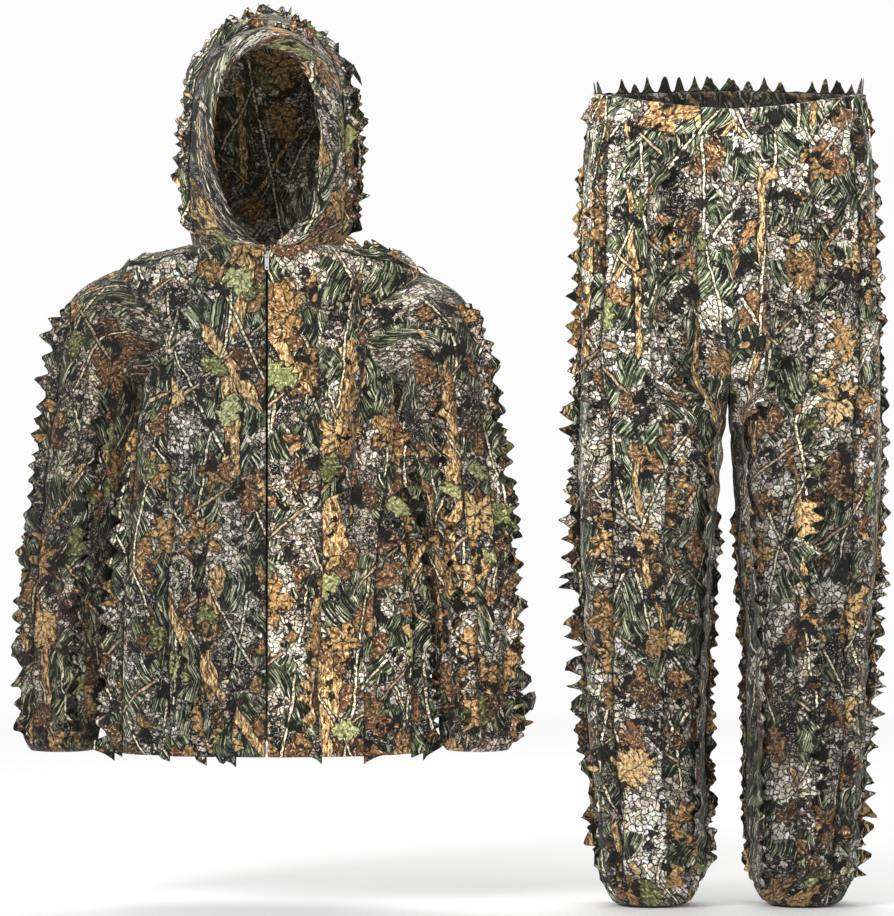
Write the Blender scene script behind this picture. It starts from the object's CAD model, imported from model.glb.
import math

import bpy
import numpy as np
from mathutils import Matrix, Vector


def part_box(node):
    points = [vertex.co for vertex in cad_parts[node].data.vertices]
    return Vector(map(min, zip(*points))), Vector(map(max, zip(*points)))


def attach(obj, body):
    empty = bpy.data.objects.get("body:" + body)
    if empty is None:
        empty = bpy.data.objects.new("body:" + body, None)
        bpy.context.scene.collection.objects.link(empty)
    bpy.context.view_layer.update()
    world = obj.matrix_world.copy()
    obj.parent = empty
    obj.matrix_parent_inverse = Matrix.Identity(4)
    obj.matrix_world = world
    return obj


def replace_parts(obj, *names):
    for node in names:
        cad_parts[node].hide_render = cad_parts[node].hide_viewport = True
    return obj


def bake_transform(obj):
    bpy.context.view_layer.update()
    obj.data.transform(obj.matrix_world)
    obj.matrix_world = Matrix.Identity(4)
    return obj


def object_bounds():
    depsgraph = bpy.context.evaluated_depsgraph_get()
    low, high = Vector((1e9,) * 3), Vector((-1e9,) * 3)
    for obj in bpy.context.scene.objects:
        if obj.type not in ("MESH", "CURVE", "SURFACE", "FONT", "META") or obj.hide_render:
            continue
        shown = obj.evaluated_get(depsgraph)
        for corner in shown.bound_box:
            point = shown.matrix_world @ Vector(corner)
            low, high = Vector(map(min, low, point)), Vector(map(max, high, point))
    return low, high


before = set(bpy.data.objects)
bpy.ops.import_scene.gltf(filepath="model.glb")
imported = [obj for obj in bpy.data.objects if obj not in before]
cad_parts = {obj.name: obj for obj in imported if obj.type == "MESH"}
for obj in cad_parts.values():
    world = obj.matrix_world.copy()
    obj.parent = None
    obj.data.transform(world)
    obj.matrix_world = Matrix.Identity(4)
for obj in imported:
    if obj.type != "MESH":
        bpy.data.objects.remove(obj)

CAD_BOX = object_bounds()
MM = 0.001


def cad(node):
    lo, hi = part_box(node)
    return np.array(lo) * 1000, np.array(hi) * 1000


JX = float(np.mean([cad("back_panel")[0][0], cad("back_panel")[1][0]]))
TX = float(np.mean([cad("waistband_casing")[0][0], cad("waistband_casing")[1][0]]))
HEM_Z = float(cad("back_panel")[0][2])
NECK_Z = float(cad("back_panel")[1][2])
LIM_X = (CAD_BOX[0][0] * 1000 - 38, CAD_BOX[1][0] * 1000 + 38)
LIM_Y = (CAD_BOX[0][1] * 1000 - 16, CAD_BOX[1][1] * 1000 + 16)

# ------------------------------------------------------------------ noise and interpolation


def _hash(ix, iy, iz, seed):
    n = (ix.astype(np.int64) * 73856093) ^ (iy.astype(np.int64) * 19349663) ^ (iz.astype(np.int64) * 83492791) ^ (seed * 40503 + 12345)
    n = (n ^ (n >> 13)) & 0xFFFFFFFF
    n = (n * 1274126177) & 0xFFFFFFFF
    n = (n ^ (n >> 15)) & 0xFFFFFFFF
    n = (n * 668265263) & 0xFFFFFFFF
    n = n ^ (n >> 14)
    return (n & 0xFFFFFF) / float(0xFFFFFF) * 2 - 1


def noise3(x, y, z, seed=0):
    x, y, z = np.broadcast_arrays(np.asarray(x, float), np.asarray(y, float), np.asarray(z, float))
    ix, iy, iz = np.floor(x), np.floor(y), np.floor(z)
    fx, fy, fz = x - ix, y - iy, z - iz
    sx, sy, sz = fx * fx * fx * (fx * (fx * 6 - 15) + 10), fy * fy * fy * (fy * (fy * 6 - 15) + 10), fz * fz * fz * (fz * (fz * 6 - 15) + 10)
    out = 0
    for dx in (0, 1):
        for dy in (0, 1):
            for dz in (0, 1):
                w = (sx if dx else 1 - sx) * (sy if dy else 1 - sy) * (sz if dz else 1 - sz)
                out = out + w * _hash(ix + dx, iy + dy, iz + dz, seed)
    return out


def fbm(x, y, z, octaves=3, seed=0):
    s, a, f = 0, 1.0, 1.0
    for k in range(octaves):
        s = s + a * noise3(x * f, y * f, z * f, seed + 17 * k)
        a *= 0.5
        f *= 2.03
    return s


def curve_of(table, smooth=9):
    """Smoothed lookup functions, one per column after the first."""
    t = np.array(table, float)
    lo, hi = t[0, 0], t[-1, 0]
    zs = np.arange(lo - 40, hi + 41, 1.0)
    k = np.exp(-0.5 * (np.arange(-3 * smooth, 3 * smooth + 1) / smooth) ** 2)
    k /= k.sum()
    cols = []
    for c in range(1, t.shape[1]):
        v = np.interp(zs, t[:, 0], t[:, c])
        v = np.where(zs < lo, t[0, c] + (zs - lo) * (t[1, c] - t[0, c]) / (t[1, 0] - t[0, 0]), v)
        v = np.where(zs > hi, t[-1, c] + (zs - hi) * (t[-1, c] - t[-2, c]) / (t[-1, 0] - t[-2, 0]), v)
        s = np.convolve(v, k, mode="same")
        m = 3 * smooth
        s[:m], s[-m:] = v[:m], v[-m:]
        cols.append(s)
    return [lambda q, s=s: np.interp(q, zs, s) for s in cols]


def spow(s, e):
    return np.sign(s) * np.abs(s) ** e


def sstep(a, b, x):
    t = np.clip((x - a) / (b - a), 0, 1)
    return t * t * (3 - 2 * t)


def densify(rows, step, power=0.5):
    """rows (K, n, 3) of key sections -> dense sections by Catmull-Rom along the first axis."""
    rows = np.asarray(rows, float)
    d = np.linalg.norm(np.diff(rows, axis=0), axis=2).mean(axis=1)
    t = np.concatenate([[0], np.cumsum(d)])
    m = max(2, int(round(t[-1] / step)))
    q = np.linspace(0, t[-1], m + 1)
    tang = np.empty_like(rows)
    tang[1:-1] = (rows[2:] - rows[:-2]) / (t[2:] - t[:-2])[:, None, None]
    tang[0] = (rows[1] - rows[0]) / (t[1] - t[0])
    tang[-1] = (rows[-1] - rows[-2]) / (t[-1] - t[-2])
    i = np.clip(np.searchsorted(t, q, side="right") - 1, 0, len(t) - 2)
    h = t[i + 1] - t[i]
    f = (q - t[i]) / h
    f, h = f[:, None, None], h[:, None, None]
    return (2 * f**3 - 3 * f**2 + 1) * rows[i] + (f**3 - 2 * f**2 + f) * h * tang[i] + (-2 * f**3 + 3 * f**2) * rows[i + 1] + (f**3 - f**2) * h * tang[i + 1]


# ------------------------------------------------------------------ sheets


class Sheet:
    """A grid of points P[j, i] (mm): i runs round, j runs along. wrap: the last column lies on the first."""

    def __init__(self, P, wrap=False, flip=False):
        self.P, self.wrap, self.flip = np.array(P, float), wrap, flip
        self.refresh()

    def refresh(self):
        P = self.P
        if self.wrap:
            P[:, -1] = P[:, 0]
            ext = np.concatenate([P[:, -2:-1], P, P[:, 1:2]], axis=1)
            du = (ext[:, 2:] - ext[:, :-2]) / 2
        else:
            du = np.gradient(P, axis=1)
        dv = np.gradient(P, axis=0)
        n = np.cross(du, dv)
        n /= np.maximum(np.linalg.norm(n, axis=2, keepdims=True), 1e-9)
        self.N = -n if self.flip else n
        if hasattr(self, "ug"):
            return  # the print is laid out on the smooth surface, before any folds
        seg = np.linalg.norm(np.diff(P, axis=1), axis=2)
        t = du / np.maximum(np.linalg.norm(du, axis=2, keepdims=True), 1e-9)
        t = (t[1:] + t[:-1]) / 2
        sv = np.diff(P, axis=0)
        segv = np.linalg.norm(sv - (sv * t).sum(axis=2, keepdims=True) * t, axis=2)
        zero_c, zero_r = np.zeros((P.shape[0], 1)), np.zeros((1, P.shape[1]))
        self.ug = np.concatenate([zero_c, np.cumsum(seg, axis=1)], axis=1)
        self.vg = np.concatenate([zero_r, np.cumsum(segv, axis=0)], axis=0)

    def push(self, d):
        if self.wrap:
            d = np.array(d)
            d[:, -1] = d[:, 0]
        self.P = self.P + self.N * d[..., None]
        self.refresh()
        return self

    def at(self, uf, vf):
        """Bilinear point and normal at fractions of the grid."""
        nj, ni = self.P.shape[:2]
        a = (np.mod(uf, 1.0) if self.wrap else np.clip(uf, 0, 1)) * (ni - 1)
        b = np.clip(vf, 0, 1) * (nj - 1)
        i, j = np.minimum(a.astype(int), ni - 2), np.minimum(b.astype(int), nj - 2)
        fa, fb = (a - i)[..., None], (b - j)[..., None]
        out = []
        for A in (self.P, self.N):
            out.append((A[j, i] * (1 - fa) + A[j, i + 1] * fa) * (1 - fb) + (A[j + 1, i] * (1 - fa) + A[j + 1, i + 1] * fa) * fb)
        n = out[1]
        return out[0], n / np.maximum(np.linalg.norm(n, axis=-1, keepdims=True), 1e-9)

    def grid_mesh(self, i0=0, i1=None, j0=0, j1=None, keep=None, uv0=(0.0, 0.0), col=0, row=0):
        """Vertices, normals, quads and loop UVs (metres) of part of the grid. The print runs true along column col and row row."""
        ug = self.ug - self.ug[:, col : col + 1] if col >= 0 else self.ug - self.ug[:, -1:]
        vg = self.vg - self.vg[row : row + 1] if row >= 0 else self.vg - self.vg[-1:]
        nj, ni = self.P.shape[:2]
        i1 = ni - 1 if i1 is None else i1
        j1 = nj - 1 if j1 is None else j1
        jj, ii = np.meshgrid(np.arange(j0, j1), np.arange(i0, i1), indexing="ij")
        jj, ii = jj.ravel(), ii.ravel()
        if keep is not None:
            ok = keep(jj, ii)
            jj, ii = jj[ok], ii[ok]
        corners = [(jj, ii), (jj, ii + 1), (jj + 1, ii + 1), (jj + 1, ii)]
        if self.flip:
            corners = corners[::-1]
        wrap_i = (lambda k: np.where(k == ni - 1, 0, k)) if (self.wrap and i0 == 0 and i1 == ni - 1) else (lambda k: k)
        idx = np.stack([c[0] * ni + wrap_i(c[1]) for c in corners], axis=1)
        uv = np.stack([np.stack([ug[c[0], c[1]], vg[c[0], c[1]]], axis=1) for c in corners], axis=1) * MM + np.array(uv0)
        used, inv = np.unique(idx.ravel(), return_inverse=True)
        return self.P.reshape(-1, 3)[used], self.N.reshape(-1, 3)[used], inv.reshape(-1, 4), uv


def closed_object(name, V, N, F, UV, thick, mats, edge=None):
    """Thickens quads inwards by thick mm and closes the rim. mats: (outer, inner)."""
    nv = len(V)
    Vi = V - N * thick
    F = np.asarray(F)
    Fi = F[:, ::-1] + nv
    UVi = UV[:, ::-1]
    e = np.concatenate([F[:, [k, (k + 1) % 4]] for k in range(4)])
    uv_e = np.concatenate([UV[:, [k, (k + 1) % 4]] for k in range(4)])
    key = np.sort(e, axis=1)
    code = key[:, 0] * (nv + 1) + key[:, 1]
    _, first, counts = np.unique(code, return_index=True, return_counts=True)
    rim = first[counts == 1]
    R = np.stack([e[rim, 1], e[rim, 0], e[rim, 0] + nv, e[rim, 1] + nv], axis=1)
    UVr = np.stack([uv_e[rim, 1], uv_e[rim, 0], uv_e[rim, 0] + 0.0004, uv_e[rim, 1] + 0.0004], axis=1)
    faces = np.concatenate([F, Fi, R])
    uvs = np.concatenate([UV, UVi, UVr])
    mat_i = np.concatenate([np.zeros(len(F), int), np.ones(len(Fi), int), np.zeros(len(R), int)])
    verts = np.concatenate([V, Vi])
    verts[:, 0] = np.clip(verts[:, 0], *LIM_X)
    verts[:, 1] = np.clip(verts[:, 1], *LIM_Y)
    me = bpy.data.meshes.new(name)
    me.vertices.add(len(verts))
    me.vertices.foreach_set("co", (verts * MM).astype(np.float32).ravel())
    me.loops.add(faces.size)
    me.loops.foreach_set("vertex_index", faces.astype(np.int32).ravel())
    me.polygons.add(len(faces))
    me.polygons.foreach_set("loop_start", np.arange(0, faces.size, 4, dtype=np.int32))
    me.update(calc_edges=True)
    me.validate()
    layer = me.uv_layers.new(name="UVMap")
    if len(me.loops) == faces.size:
        layer.data.foreach_set("uv", uvs.astype(np.float32).ravel())
        me.polygons.foreach_set("material_index", mat_i.astype(np.int32))
    me.polygons.foreach_set("use_smooth", np.ones(len(me.polygons), dtype=bool))
    if edge is not None:
        at = me.attributes.new("edge", "FLOAT", "POINT")
        at.data.foreach_set("value", np.concatenate([edge, edge]).astype(np.float32))
    for m in mats:
        me.materials.append(m)
    me.update()
    ob = bpy.data.objects.new(name, me)
    bpy.context.scene.collection.objects.link(ob)
    return ob


# ------------------------------------------------------------------ leaf-cut strips

LOBES = [  # (length factor, outline)
    (1.55, [(0, 0), (0.05, 0.12), (0.12, 0.62), (0.155, 0.78), (0.20, 0.42), (0.27, 0.30), (0.36, 0.66), (0.43, 0.98), (0.46, 1.0), (0.52, 0.6), (0.60, 0.34), (0.68, 0.5), (0.755, 0.84), (0.79, 0.7), (0.86, 0.22), (0.93, 0.08), (1, 0)]),
    (1.15, [(0, 0), (0.08, 0.18), (0.19, 0.7), (0.25, 0.86), (0.32, 0.48), (0.43, 0.38), (0.57, 0.78), (0.65, 1.0), (0.71, 0.82), (0.84, 0.26), (1, 0)]),
    (0.75, [(0, 0), (0.15, 0.2), (0.33, 0.55), (0.48, 0.97), (0.54, 1.0), (0.64, 0.62), (0.82, 0.2), (1, 0)]),
    (0.9, [(0, 0), (0.1, 0.3), (0.25, 0.55), (0.36, 0.86), (0.47, 0.78), (0.6, 1.0), (0.74, 0.62), (0.88, 0.3), (1, 0)]),
    (0.55, [(0, 0), (0.2, 0.25), (0.45, 0.72), (0.55, 0.8), (0.75, 0.3), (1, 0)]),
    (0.75, [(0, 0), (0.14, 0.04), (0.22, 0.36), (0.31, 0.74), (0.42, 0.96), (0.5, 1.0), (0.58, 0.94), (0.68, 0.7), (0.77, 0.34), (0.86, 0.04), (1, 0)]),
]


class Strips:
    """Collects leaf-cut ribbons into one closed mesh."""

    def __init__(self, seed):
        self.V, self.N, self.F, self.UV, self.E = [], [], [], [], []
        self.count = 0
        self.rng = np.random.RandomState(seed)

    def add(self, sheet, path, side, base=12.0, lobe=22.0, pitch=38.0, phi=(12, 50), lift=1.2, droop=0.0, root=0.0, step=2.6, cols=6, both=False, shapes=(0, 0, 1, 1, 2, 3, 4), then=None, taper=16.0, skip=0.0, grow=None):
        """path: points (u fraction, v fraction). side: +1 or -1 of u. phi: degrees off the cloth at the root and tip.
        skip: share of missing leaves. grow: [(v fraction, width factor)] along the strip."""
        rng = self.rng
        path = np.array(path, float)
        t = np.linspace(0, 1, 200)
        k = np.linspace(0, 1, len(path))
        uf, vf = np.interp(t, k, path[:, 0]), np.interp(t, k, path[:, 1])
        if len(path) > 2:
            w = np.hanning(25)
            w /= w.sum()
            pad = lambda a: np.convolve(np.concatenate([np.full(12, a[0]), a, np.full(12, a[-1])]), w, mode="valid")
            uf, vf = pad(uf), pad(vf)
        P, _ = sheet.at(uf, vf)
        s = np.concatenate([[0], np.cumsum(np.linalg.norm(np.diff(P, axis=0), axis=1))])
        n = max(6, int(s[-1] / step))
        q = np.linspace(0, s[-1], n + 1)
        uf, vf = np.interp(q, s, uf), np.interp(q, s, vf)
        # lobed width and curl
        w = np.zeros(n + 1)
        curl = np.zeros(n + 1)
        x = -rng.uniform(0, 0.6) * pitch
        while x < q[-1]:
            lf, sh = LOBES[shapes[rng.randint(len(shapes))]]
            L = pitch * lf * rng.uniform(0.8, 1.22)
            h = lobe * rng.uniform(0.68, 1.15) * (0.12 if skip and rng.uniform() < skip else 1.0)
            sh = np.array(sh)
            f = (q - x) / L
            m = (f >= 0) & (f <= 1)
            g = rng.uniform(0.75, 1.3)
            w[m] = h * np.interp(f[m] ** g, sh[:, 0], sh[:, 1])
            c = rng.uniform(0, 1)
            curl[m] = c
            x += L
        kern = np.ones(7) / 7
        curl = np.convolve(np.pad(curl, 3, mode="edge"), kern, mode="valid")
        width = base + w
        ends = np.clip(np.minimum(q, q[-1] - q) / taper, 0, 1) ** 0.7
        if grow is not None:
            ends = ends * np.interp(vf, [g_[0] for g_ in grow], [g_[1] for g_ in grow])
        width = np.maximum(width * ends, 0.6)
        frac = np.linspace(0, 1, cols + 1)[None, :]
        S = root + frac * width[:, None]
        p0, p1 = np.radians(phi[0]), np.radians(phi[1])
        ang = p0 + (p1 - p0) * (0.35 + 0.65 * curl[:, None]) * (frac**1.2)
        ds = width[:, None] / cols
        tau = np.concatenate([np.zeros((n + 1, 1)), np.cumsum(np.cos((ang[:, 1:] + ang[:, :-1]) / 2) * ds, axis=1)], axis=1)
        nu = np.concatenate([np.zeros((n + 1, 1)), np.cumsum(np.sin((ang[:, 1:] + ang[:, :-1]) / 2) * ds, axis=1)], axis=1)
        e = 1e-3
        Pa, _ = sheet.at(uf, vf)
        Pu, _ = sheet.at(uf + e, vf)
        Pm, _ = sheet.at(uf - e, vf)
        Lu = np.maximum(np.linalg.norm(Pu - Pm, axis=1) / (2 * e), 30.0)
        Pv, _ = sheet.at(uf, np.clip(vf + e, 0, 1))
        Pw, _ = sheet.at(uf, np.clip(vf - e, 0, 1))
        Lv = np.maximum(np.linalg.norm(Pv - Pw, axis=1) / (2 * e), 30.0)
        # the way across the strip, measured in the sheet's own u and v
        tu, tv = np.gradient(uf) * Lu, np.gradient(vf) * Lv
        tl = np.maximum(np.hypot(tu, tv), 1e-9)
        cu, cv = -tv / tl * side * np.sign(-tv[len(tv) // 2] + 1e-9), tu / tl * side * np.sign(-tv[len(tv) // 2] + 1e-9)
        sway = fbm(q[:, None] * 0.03, frac * 2.0 + self.count * 0.13, 0.5, 2, 7) * 2.0 * frac
        U = uf[:, None] + cu[:, None] * (tau + root) / Lu[:, None]
        W = vf[:, None] + (cv[:, None] * (tau + root) - droop * tau) / Lv[:, None]
        Ps, Ns = sheet.at(U, W)
        X = Ps + Ns * (lift + nu + sway)[..., None]
        du, dv = np.gradient(X, axis=1), np.gradient(X, axis=0)
        nn = np.cross(du, dv)
        nn /= np.maximum(np.linalg.norm(nn, axis=2, keepdims=True), 1e-9)
        if (nn * Ns).sum() < 0:
            nn = -nn
            order = lambda a: a[:, ::-1]
        else:
            order = lambda a: a
        off = rng.uniform(0, 7, 2)
        uv = np.stack([np.broadcast_to(S, X.shape[:2]), np.broadcast_to(-q[:, None], X.shape[:2])], axis=2) * MM + off
        edge = np.broadcast_to(frac, X.shape[:2])
        turned = order(edge) is not edge
        if then is None:
            self._put(X, nn, uv, edge, turned)
        else:
            after, v_cut = then
            k = int(np.clip(np.searchsorted(vf, v_cut), 2, len(vf) - 3))
            self._put(X[: k + 1], nn[: k + 1], uv[: k + 1], edge[: k + 1], turned)
            after._put(X[k:], nn[k:], uv[k:], edge[k:], turned)
        if both:
            self.add(sheet, path, -side, base * 0.8, lobe * 0.9, pitch, phi, lift, droop, root, step, cols, False, shapes, then, taper, skip, grow)

    def _put(self, X, nn, uv, edge, turned):
        rows, c1 = X.shape[:2]
        j, i = np.meshgrid(np.arange(rows - 1), np.arange(c1 - 1), indexing="ij")
        j, i = j.ravel(), i.ravel()
        F = np.stack([j * c1 + i, j * c1 + i + 1, (j + 1) * c1 + i + 1, (j + 1) * c1 + i], axis=1)
        uvf = uv.reshape(-1, 2)[F]
        if turned:
            F, uvf = F[:, ::-1], uvf[:, ::-1]
        self.V.append(X.reshape(-1, 3))
        self.N.append(nn.reshape(-1, 3))
        self.F.append(F + self.count)
        self.UV.append(uvf)
        self.E.append(edge.ravel().copy())
        self.count += rows * c1

    def build(self, name, mats, thick=0.5):
        return closed_object(name, np.concatenate(self.V), np.concatenate(self.N), np.concatenate(self.F), np.concatenate(self.UV), thick, mats, np.concatenate(self.E))

# ------------------------------------------------------------------ materials


class Nodes:
    """A short way to write node maths."""

    def __init__(self, name, like=None):
        # like: a finished tree of the same layout, which is copied and only gets new numbers
        if like is None:
            self.mat = bpy.data.materials.new(name)
            self.mat.use_nodes = True
            self.nt = self.mat.node_tree
            self.nt.nodes.clear()
            self.names, self.k = [], None
        else:
            self.mat = like.mat.copy()
            self.mat.name = name
            self.nt = self.mat.node_tree
            self.names, self.k = like.names, 0
        self.out = self.new("ShaderNodeOutputMaterial")
        self.bsdf = self.new("ShaderNodeBsdfPrincipled")
        self.put(self.out.inputs[0], self.bsdf.outputs[0])

    def new(self, kind):
        if self.k is None:
            n = self.nt.nodes.new(kind)
            self.names.append(n.name)
            return n
        n = self.nt.nodes[self.names[self.k]]
        self.k += 1
        return n

    def put(self, sock, val):
        if isinstance(val, bpy.types.NodeSocket):
            if self.k is None:
                self.nt.links.new(val, sock)
            return
        if isinstance(val, (tuple, list)):
            val = (*val, 1.0) if sock.type == "RGBA" and len(val) == 3 else tuple(val)
            if any(abs(x - y) > 1e-6 for x, y in zip(sock.default_value, val)):
                sock.default_value = val
        elif abs(sock.default_value - val) > 1e-6:
            sock.default_value = val

    def set(self, node, **kw):
        for k, v in kw.items():
            if getattr(node, k) != v:
                setattr(node, k, v)

    def m(self, op, a, b=0.0, c=None, clamp=False):
        n = self.new("ShaderNodeMath")
        self.set(n, operation=op, use_clamp=clamp)
        self.put(n.inputs[0], a)
        self.put(n.inputs[1], b)
        if c is not None:
            self.put(n.inputs[2], c)
        return n.outputs[0]

    def vm(self, op, a, b=(0, 0, 0), scale=None):
        n = self.new("ShaderNodeVectorMath")
        self.set(n, operation=op)
        self.put(n.inputs[0], a)
        if scale is not None:
            self.put(n.inputs["Scale"], scale)
        else:
            self.put(n.inputs[1], b)
        return n.outputs[0]

    def xyz(self, v):
        n = self.new("ShaderNodeSeparateXYZ")
        self.put(n.inputs[0], v)
        return n.outputs[0], n.outputs[1], n.outputs[2]

    def vec(self, x, y, z=0.0):
        n = self.new("ShaderNodeCombineXYZ")
        for s, v in zip(n.inputs, (x, y, z)):
            self.put(s, v)
        return n.outputs[0]

    def rgb(self, c):
        n = self.new("ShaderNodeSeparateColor")
        self.put(n.inputs[0], c)
        return n.outputs[0], n.outputs[1], n.outputs[2]

    def noise(self, v, scale, detail=2.0, rough=0.5, dist=0.0, dims="2D"):
        n = self.new("ShaderNodeTexNoise")
        self.set(n, noise_dimensions=dims)
        self.put(n.inputs["Vector"], v)
        self.put(n.inputs["Scale"], scale)
        self.put(n.inputs["Detail"], detail)
        self.put(n.inputs["Roughness"], rough)
        self.put(n.inputs["Distortion"], dist)
        return n.outputs[0], n.outputs[1]

    def vor(self, v, scale, rand=1.0, feature="F1"):
        n = self.new("ShaderNodeTexVoronoi")
        self.set(n, voronoi_dimensions="2D", feature=feature)
        self.put(n.inputs["Vector"], v)
        self.put(n.inputs["Scale"], scale)
        self.put(n.inputs["Randomness"], rand)
        if feature == "DISTANCE_TO_EDGE":
            return n.outputs["Distance"]
        return n.outputs["Distance"], n.outputs["Color"], n.outputs["Position"]

    def mix(self, f, a, b):
        n = self.new("ShaderNodeMix")
        self.set(n, data_type="RGBA")
        self.put(n.inputs[0], f)
        self.put(n.inputs[6], a)
        self.put(n.inputs[7], b)
        return n.outputs[2]

    def mul(self, f, a, b):
        n = self.new("ShaderNodeMix")
        self.set(n, data_type="RGBA", blend_type="MULTIPLY")
        self.put(n.inputs[0], f)
        self.put(n.inputs[6], a)
        self.put(n.inputs[7], b)
        return n.outputs[2]

    def ramp(self, f, stops, mode="LINEAR"):
        n = self.new("ShaderNodeValToRGB")
        cr = n.color_ramp
        if self.k is not None:
            self.put(n.inputs[0], f)
            return n.outputs[0]
        cr.interpolation = mode
        while len(cr.elements) < len(stops):
            cr.elements.new(0.5)
        for e, (p, c) in zip(cr.elements, stops):
            e.position = p
            e.color = (*c, 1.0)
        self.put(n.inputs[0], f)
        return n.outputs[0]

    def step(self, x, a, b):
        """0 below a, 1 above b."""
        n = self.new("ShaderNodeMapRange")
        self.set(n, interpolation_type="LINEAR")
        self.put(n.inputs[0], x)
        self.put(n.inputs[1], a)
        self.put(n.inputs[2], b)
        return n.outputs[0]

    def spin(self, v, deg):
        c, s = math.cos(math.radians(deg)), math.sin(math.radians(deg))
        x, y, _ = self.xyz(v)
        return self.m("ADD", self.m("MULTIPLY", x, c), self.m("MULTIPLY", y, s)), self.m("SUBTRACT", self.m("MULTIPLY", y, c), self.m("MULTIPLY", x, s))


def lin(r, g, b):
    f = lambda v: ((v / 255 + 0.055) / 1.055) ** 2.4 if v / 255 > 0.04045 else v / 255 / 12.92
    return (f(r), f(g), f(b))


BLACK = lin(16, 14, 9)


def leaf_finish(N, base, v, inside, has, gate, ribs, tone_seed, colors, rim_w=0.0028, vein=0.8):
    m_leaf = N.m("MULTIPLY", N.step(inside, 0.0, 0.0007), has)
    m_dark = N.m("MULTIPLY", N.m("MULTIPLY", N.step(inside, -0.0042, -0.0008), gate), has)
    tone = N.noise(v, 240.0, 3.0, 0.7)[0]
    colour = N.ramp(N.m("ADD", N.m("MULTIPLY", N.m("FRACT", N.m("MULTIPLY", tone_seed, 7.31)), 0.5), N.m("MULTIPLY", tone, 0.5)), colors)
    rim = N.step(inside, 0.0, rim_w)
    colour = N.mix(N.m("MULTIPLY", N.m("SUBTRACT", 1.0, rim), 0.5), colour, lin(58, 40, 20))
    colour = N.mix(N.m("MULTIPLY", ribs, vein), colour, lin(34, 24, 11))
    colour = N.mix(N.m("MULTIPLY", N.step(tone, 0.56, 0.66), 0.6), colour, lin(236, 214, 164))
    colour = N.mix(N.m("MULTIPLY", N.step(tone, 0.44, 0.36), 0.6), colour, lin(60, 42, 20))
    out = N.mix(N.m("MULTIPLY", m_dark, 0.9), base, BLACK)
    return N.mix(m_leaf, out, colour)


def leaf_layer(N, base, P, cell, length, width, prob, colors, off, lobes=3.0, lobe_amp=0.3, vein=0.8):
    """Draws one leaf in some cells of a loose grid over the colour base. Sizes in metres."""
    v = N.vm("ADD", P, (off[0], off[1], 0))
    _, col, pos = N.vor(v, 1 / cell, 0.85)
    r, g, b = N.rgb(col)
    d = N.vm("SUBTRACT", v, pos)
    dx, dy, _ = N.xyz(d)
    ang = N.m("MULTIPLY", r, 6.2832)
    c, s = N.m("COSINE", ang), N.m("SINE", ang)
    x = N.m("ADD", N.m("MULTIPLY", dx, c), N.m("MULTIPLY", dy, s))
    y = N.m("SUBTRACT", N.m("MULTIPLY", dy, c), N.m("MULTIPLY", dx, s))
    y = N.m("ADD", y, N.m("MULTIPLY", N.m("MULTIPLY", x, x), N.m("MULTIPLY", N.m("SUBTRACT", g, 0.5), 0.6 / length)))
    size = N.m("ADD", N.m("MULTIPLY", g, 0.55), 0.62)
    t = N.m("ADD", N.m("DIVIDE", x, N.m("MULTIPLY", size, length)), 0.5)
    tc = N.m("MULTIPLY", t, 1.0, clamp=True)
    body = N.m("POWER", N.m("SINE", N.m("MULTIPLY", tc, 3.1416)), 0.62)
    lob = N.m("ABSOLUTE", N.m("SINE", N.m("MULTIPLY", tc, 3.1416 * lobes)))
    body = N.m("MULTIPLY", body, N.m("ADD", 1 - lobe_amp, N.m("MULTIPLY", lob, lobe_amp)))
    hw = N.m("MULTIPLY", body, N.m("MULTIPLY", size, width / 2))
    ay = N.m("ABSOLUTE", y)
    inside = N.m("SUBTRACT", hw, ay)
    has = N.m("LESS_THAN", b, prob)
    gate = N.m("LESS_THAN", N.m("ABSOLUTE", N.m("SUBTRACT", t, 0.5)), 0.56)
    rib = N.m("SUBTRACT", 1.0, N.step(ay, 0.0006, 0.0016))
    side = N.m("PINGPONG", N.m("SUBTRACT", x, N.m("MULTIPLY", ay, 1.1)), length / 13)
    side = N.m("SUBTRACT", 1.0, N.step(side, 0.0002, 0.0017))
    return leaf_finish(N, base, v, inside, has, gate, N.m("MAXIMUM", rib, N.m("MULTIPLY", side, 0.8)), g, colors, vein=vein)


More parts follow.
